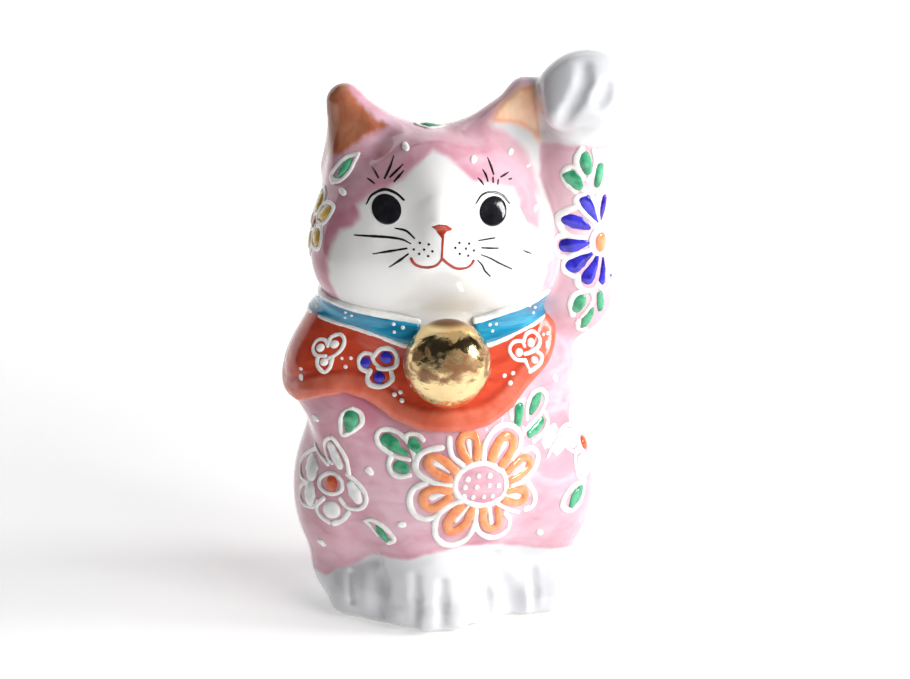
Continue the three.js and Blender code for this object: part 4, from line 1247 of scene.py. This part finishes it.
FACE_LINES = (
    ((0.16, 0.36, 0.3), -16.5, 1.8, -15.2, 3.8, -12.4, 5.3, -9.8, 4.8, -8.1, 3.5),
    ((0.16, 0.34, 0.3), 8.6, 2.4, 10.1, 4.1, 12.3, 4.5, 15, 3.5, 16.7, 1.6),
    ((0.12, 0.27, 0.2), -16.1, 7.1, -15.4, 6.8, -14.6, 6.3),
    ((0.12, 0.28, 0.2), -14.8, 9.4, -14.2, 8.6, -13.6, 7.6),
    ((0.12, 0.3, 0.22), -9.9, 12.3, -10.8, 10.2, -12.2, 7.6),
    ((0.12, 0.28, 0.22), -7.9, 10.9, -9.3, 9.6, -11, 8),
    ((0.12, 0.28, 0.2), -7.9, 9.6, -9, 8.4, -10.1, 7.2), ((0.12, 0.26, 0.2), 9.3, 7.8, 10, 7.1, 10.6, 6.2),
    ((0.12, 0.28, 0.2), 10.6, 9.3, 11.3, 8.1, 11.7, 6.8), ((0.12, 0.3, 0.22), 12, 11.5, 12.7, 9.7, 13.2, 8),
    (0.22, 13, 7.3, 13, 6.4), (0.22, 14.3, 6.7, 14.1, 5.9),
    ((0.12, 0.26, 0.2), 17, 7.8, 16.1, 7.5, 15, 7.2), (0.18, 17.6, 6.4, 17, 6.4),
)
PUPILS = (
    (3.35, -12, 1.1), (3.3, 12.7, 0.3),
)
WHISKERS = (
    ((0.16, 0.32, 0.3, 0.16), -19.4, 2.9, -14.3, 3.1, -9.1, 2.9, -6.8, 2.1),
    ((0.14, 0.3, 0.2), -10.2, 5.1, -7.7, 4.7, -5.9, 3.3),
    ((0.14, 0.3, 0.2), -15.3, -0.8, -11.5, 0.1, -7.7, 1),
    ((0.14, 0.3, 0.2), -11.6, -3.5, -9.5, -1.9, -7.4, -0.2),
    ((0.14, 0.2, 0.14), 9, 2.3, 11, 2.4, 12.9, 2.5), ((0.16, 0.24, 0.16), 9.7, 0.7, 11.6, 0.4, 13.6, 0.2),
    ((0.14, 0.26, 0.16), 9.5, -0.8, 11.6, -1.8, 13.8, -3.2, 16.9, -5),
    ((0.14, 0.26, 0.16), 8.6, -1.9, 9.7, -3.2, 10.4, -4.7, 11.7, -6.2),
    ((0.12, 0.22, 0.12), 19.8, -1.1, 21.7, -2.1), (0.3, -4.7, 2.4), (0.3, -2.7, 2.2), (0.3, -6.1, 0.9),
    (0.3, -3.8, 1), (0.3, -1.9, 0.7), (0.3, -4.9, 0), (0.3, -2.9, -0.4), (0.3, 4.4, 2.3), (0.3, 6.7, 1.9),
    (0.3, 3.4, 1.3), (0.3, 5.9, 0.9), (0.3, 7.8, 0.3), (0.3, 4.4, -0.1), (0.3, 6.4, -0.7),
)
NOSE = (
    ((0.15, 0.5, 0.85, 0.95, 0.9, 0.75, 0.4), -1.8, 2.1, -1, 2, -0.1, 1.9, 0.5, 1.8, 1.1, 1.8, 1.8, 1.6,
        2.3, 1.5),
    ((1.3, 1.1, 0.7, 0.32), 0.3, 1.4, 0.3, 1, 0.3, 0.5, 0.3, -0.1),
    ((0.3, 0.26, 0.28), 0.6, 0.1, 0.4, -2.3, 0.2, -5),
    ((0.34, 0.3, 0.34, 0.34, 0.36), 0.3, -5, -0.8, -6.4, -2.2, -7, -3.7, -7.1, -5.4, -6.7, -6.4, -5.9,
        -6.7, -5.2),
    ((0.36, 0.36, 0.34, 0.3, 0.36), 0.3, -5, 2, -6.5, 3.5, -7.4, 4.8, -7.6, 6.2, -7.4, 7.2, -6.7, 7.6, -6),
)

DAISIES = {
    "flower_back": ((0, 29, 40), (0, 1, 0), daisy("orange", 8, 5.8, 11.6, 1.7)),
    "flower_temple": ((-28.9, -7.2, 95.2), (-0.95, -0.22, 0.2), daisy("yellow", 5, 3, 7.6, 1.75, "ember")),
    "flower_haunch_left": (
        (35.4, -8.8, 40.4), (0.92, -0.34, 0.18), daisy("plate", 5, 3.8, 8.8, 2.4, "ember", 0.12),
    ),
    "flower_nape": ((-1, 21, 105.5), (0, 0.83, 0.55), daisy("yellow", 6, 3.1, 7.2, 1.45, "ember")),
}
LEAVES = {
    "leaf_back_right": ((-17, 22, 54), (-0.5, 0.85, 0.15), leaf(4.6, 1.3, 0.7)),
    "leaf_back_left": ((17, 22, 54), (0.5, 0.85, 0.15), leaf(4.6, 1.3, -0.7)),
    "leaf_crown": ((-1.8, -5.2, 117), (0, -0.12, 0.99), leaf(3.6, 1.5, 1.45)),
}
FRONT = (0, -1, 0)

for name, (centre, normal, drawing) in ENAMEL.items():
    draw(name, Flat(centre, normal), drawing, name)
for name, (centre, normal, drawing) in BIB_ENAMEL.items():
    draw(name, Flat(centre, normal, BIB_TREE, bib), drawing, name)
draw("bib_dots", Flat((0, -24, 58), FRONT, BIB_TREE, bib), {"white": BIB_DOTS})
draw("collar_dots", Flat((0, -24, 72), FRONT, COLLAR_TREE, collar), {"white": COLLAR_DOTS})
draw("body_dots", Flat((0, -24, 40), FRONT), {"white": BODY_DOTS})
draw("head_dots", Flat((0, -10, 108), FRONT), {"white": HEAD_DOTS})
for name, (centre, normal, drawing) in (DAISIES | LEAVES).items():
    draw(name, Flat(centre, normal), drawing, name)


def collar_piping():
    """Thick white lines along both edges of the collar, ending in a blob beside the bell."""

    def edge(curve, ends, shift):
        bearings = np.linspace(*ends, 26)
        return joined([(math.radians(b) * NECK_R, along(curve, b) + shift) for b in bearings])

    trails = [
        ((0.6, 0.55, 0.6, 0.6, 0.72), *edge(COLLAR_HIGH, (-181, -14), 0.15)),
        ((0.72, 0.6, 0.6, 0.55, 0.6), *edge(COLLAR_HIGH, (19, 180), 0.15)),
        ((0.6, 0.55, 0.55, 0.6, 0.8), *edge(COLLAR_LOW, (-181, -17), -0.1)),
        ((0.8, 0.62, 0.6, 0.55, 0.6), *edge(COLLAR_LOW, (22, 180), -0.1)),
    ]
    draw("collar_piping", Round(PIPING_TREE, piping_bed), {"white": trails}, sunk=PIPING_BED + SUNK)


collar_piping()


# ---- the painted face ------------------------------------------------------------------------

face = Flat((FACE_X, -22, 100), FRONT)
draw("face_lines", face, {"black": FACE_LINES})
draw("whiskers", Flat((FACE_X, -22, 92), FRONT), {"black": WHISKERS})
draw("pupils", face, {"black": PUPILS}, rise=PUPIL_RISE)
draw("nose", Flat((FACE_X, -22, 96), FRONT), {"rust": NOSE})


# ---- studio ----------------------------------------------------------------------------------

def stage():
    """A white floor that curves up into a white wall behind the cat."""
    near, bend, r, top = -1.6, 0.9, 0.5, 2.2
    arc = [(bend + r * math.sin(a), r - r * math.cos(a)) for a in np.linspace(0.1, math.pi / 2, 12)]
    profile = [(near, 0.0), (bend, 0.0), *arc, (bend + r, top)]
    bm = bmesh.new()
    rows = [[bm.verts.new((x, y, z)) for x in (-2.4, 2.4)] for y, z in profile]
    for a, b in zip(rows, rows[1:]):
        bm.faces.new((a[0], a[1], b[1], b[0])).smooth = True
    mesh = bpy.data.meshes.new("floor")
    bm.to_mesh(mesh)
    floor = bpy.data.objects.new("floor", mesh)
    bpy.context.scene.collection.objects.link(floor)
    m = Nodes("paper", Roughness=0.9)
    m.colour(m.mix(m.noise(900, 2), srgb(246, 246, 246), srgb(243, 243, 242)))
    depth = m.add("ShaderNodeSeparateXYZ", Vector=m.place).outputs["Y"]
    glow = m.ramp(depth, 0.15, 0.9, 0.3, 0.75)
    m.plug(m.shader.inputs["Emission Color"], (1, 1, 1, 1))
    m.plug(m.shader.inputs["Emission Strength"], glow)
    mesh.materials.append(m.material)


LAMP_TARGET = Vector((0, 0, 0.07))


def softbox(name, place, size, watts, mirrored=True):
    light = bpy.data.lights.new(name, "AREA")
    light.shape = "RECTANGLE"
    light.size, light.size_y = size
    light.energy = watts
    lamp = bpy.data.objects.new(name, light)
    lamp.location = place
    lamp.rotation_euler = (LAMP_TARGET - Vector(place)).to_track_quat("-Z", "Y").to_euler()
    lamp.visible_glossy = mirrored  # a fill light leaves no reflection in the glaze
    bpy.context.scene.collection.objects.link(lamp)


stage()
softbox("window", (0.80, -0.50, 0.66), (0.42, 0.42), 2.2, mirrored=False)
softbox("side", (0.95, -0.16, 0.50), (0.34, 0.36), 6.6)
softbox("front", (0.64, -0.78, 0.42), (0.6, 0.6), 7.6, mirrored=False)
softbox("ceiling", (0.15, 0.25, 1.35), (1.3, 1.3), 3.0)

world = bpy.data.worlds.new("studio")
world.use_nodes = True
sky = world.node_tree.nodes["Background"].inputs
sky["Color"].default_value = (0.86, 0.9, 1.0, 1)
sky["Strength"].default_value = 0.03
bpy.context.scene.world = world
bpy.context.scene.view_settings.view_transform = "Standard"

# The camera stands in front, a little to the cat's right and looking slightly down.
AZIMUTH, ELEVATION, DISTANCE = math.radians(-4.2), math.radians(14.0), 0.75
AIM = Vector(to_world(np.array([[4.6, 0.0, 64.2]]))[0])
camera_data = bpy.data.cameras.new("camera")
camera_data.lens = 123.1
camera_data.sensor_width = 36.0
camera_data.clip_start, camera_data.clip_end = 0.01, 20
camera = bpy.data.objects.new("camera", camera_data)
back = Vector(
    (
        math.sin(AZIMUTH) * math.cos(ELEVATION),
        -math.cos(AZIMUTH) * math.cos(ELEVATION),
        math.sin(ELEVATION),
    )
)
camera.location = AIM + back * DISTANCE
camera.rotation_euler = (-back).to_track_quat("-Z", "Y").to_euler()
bpy.context.scene.collection.objects.link(camera)
bpy.context.scene.camera = camera
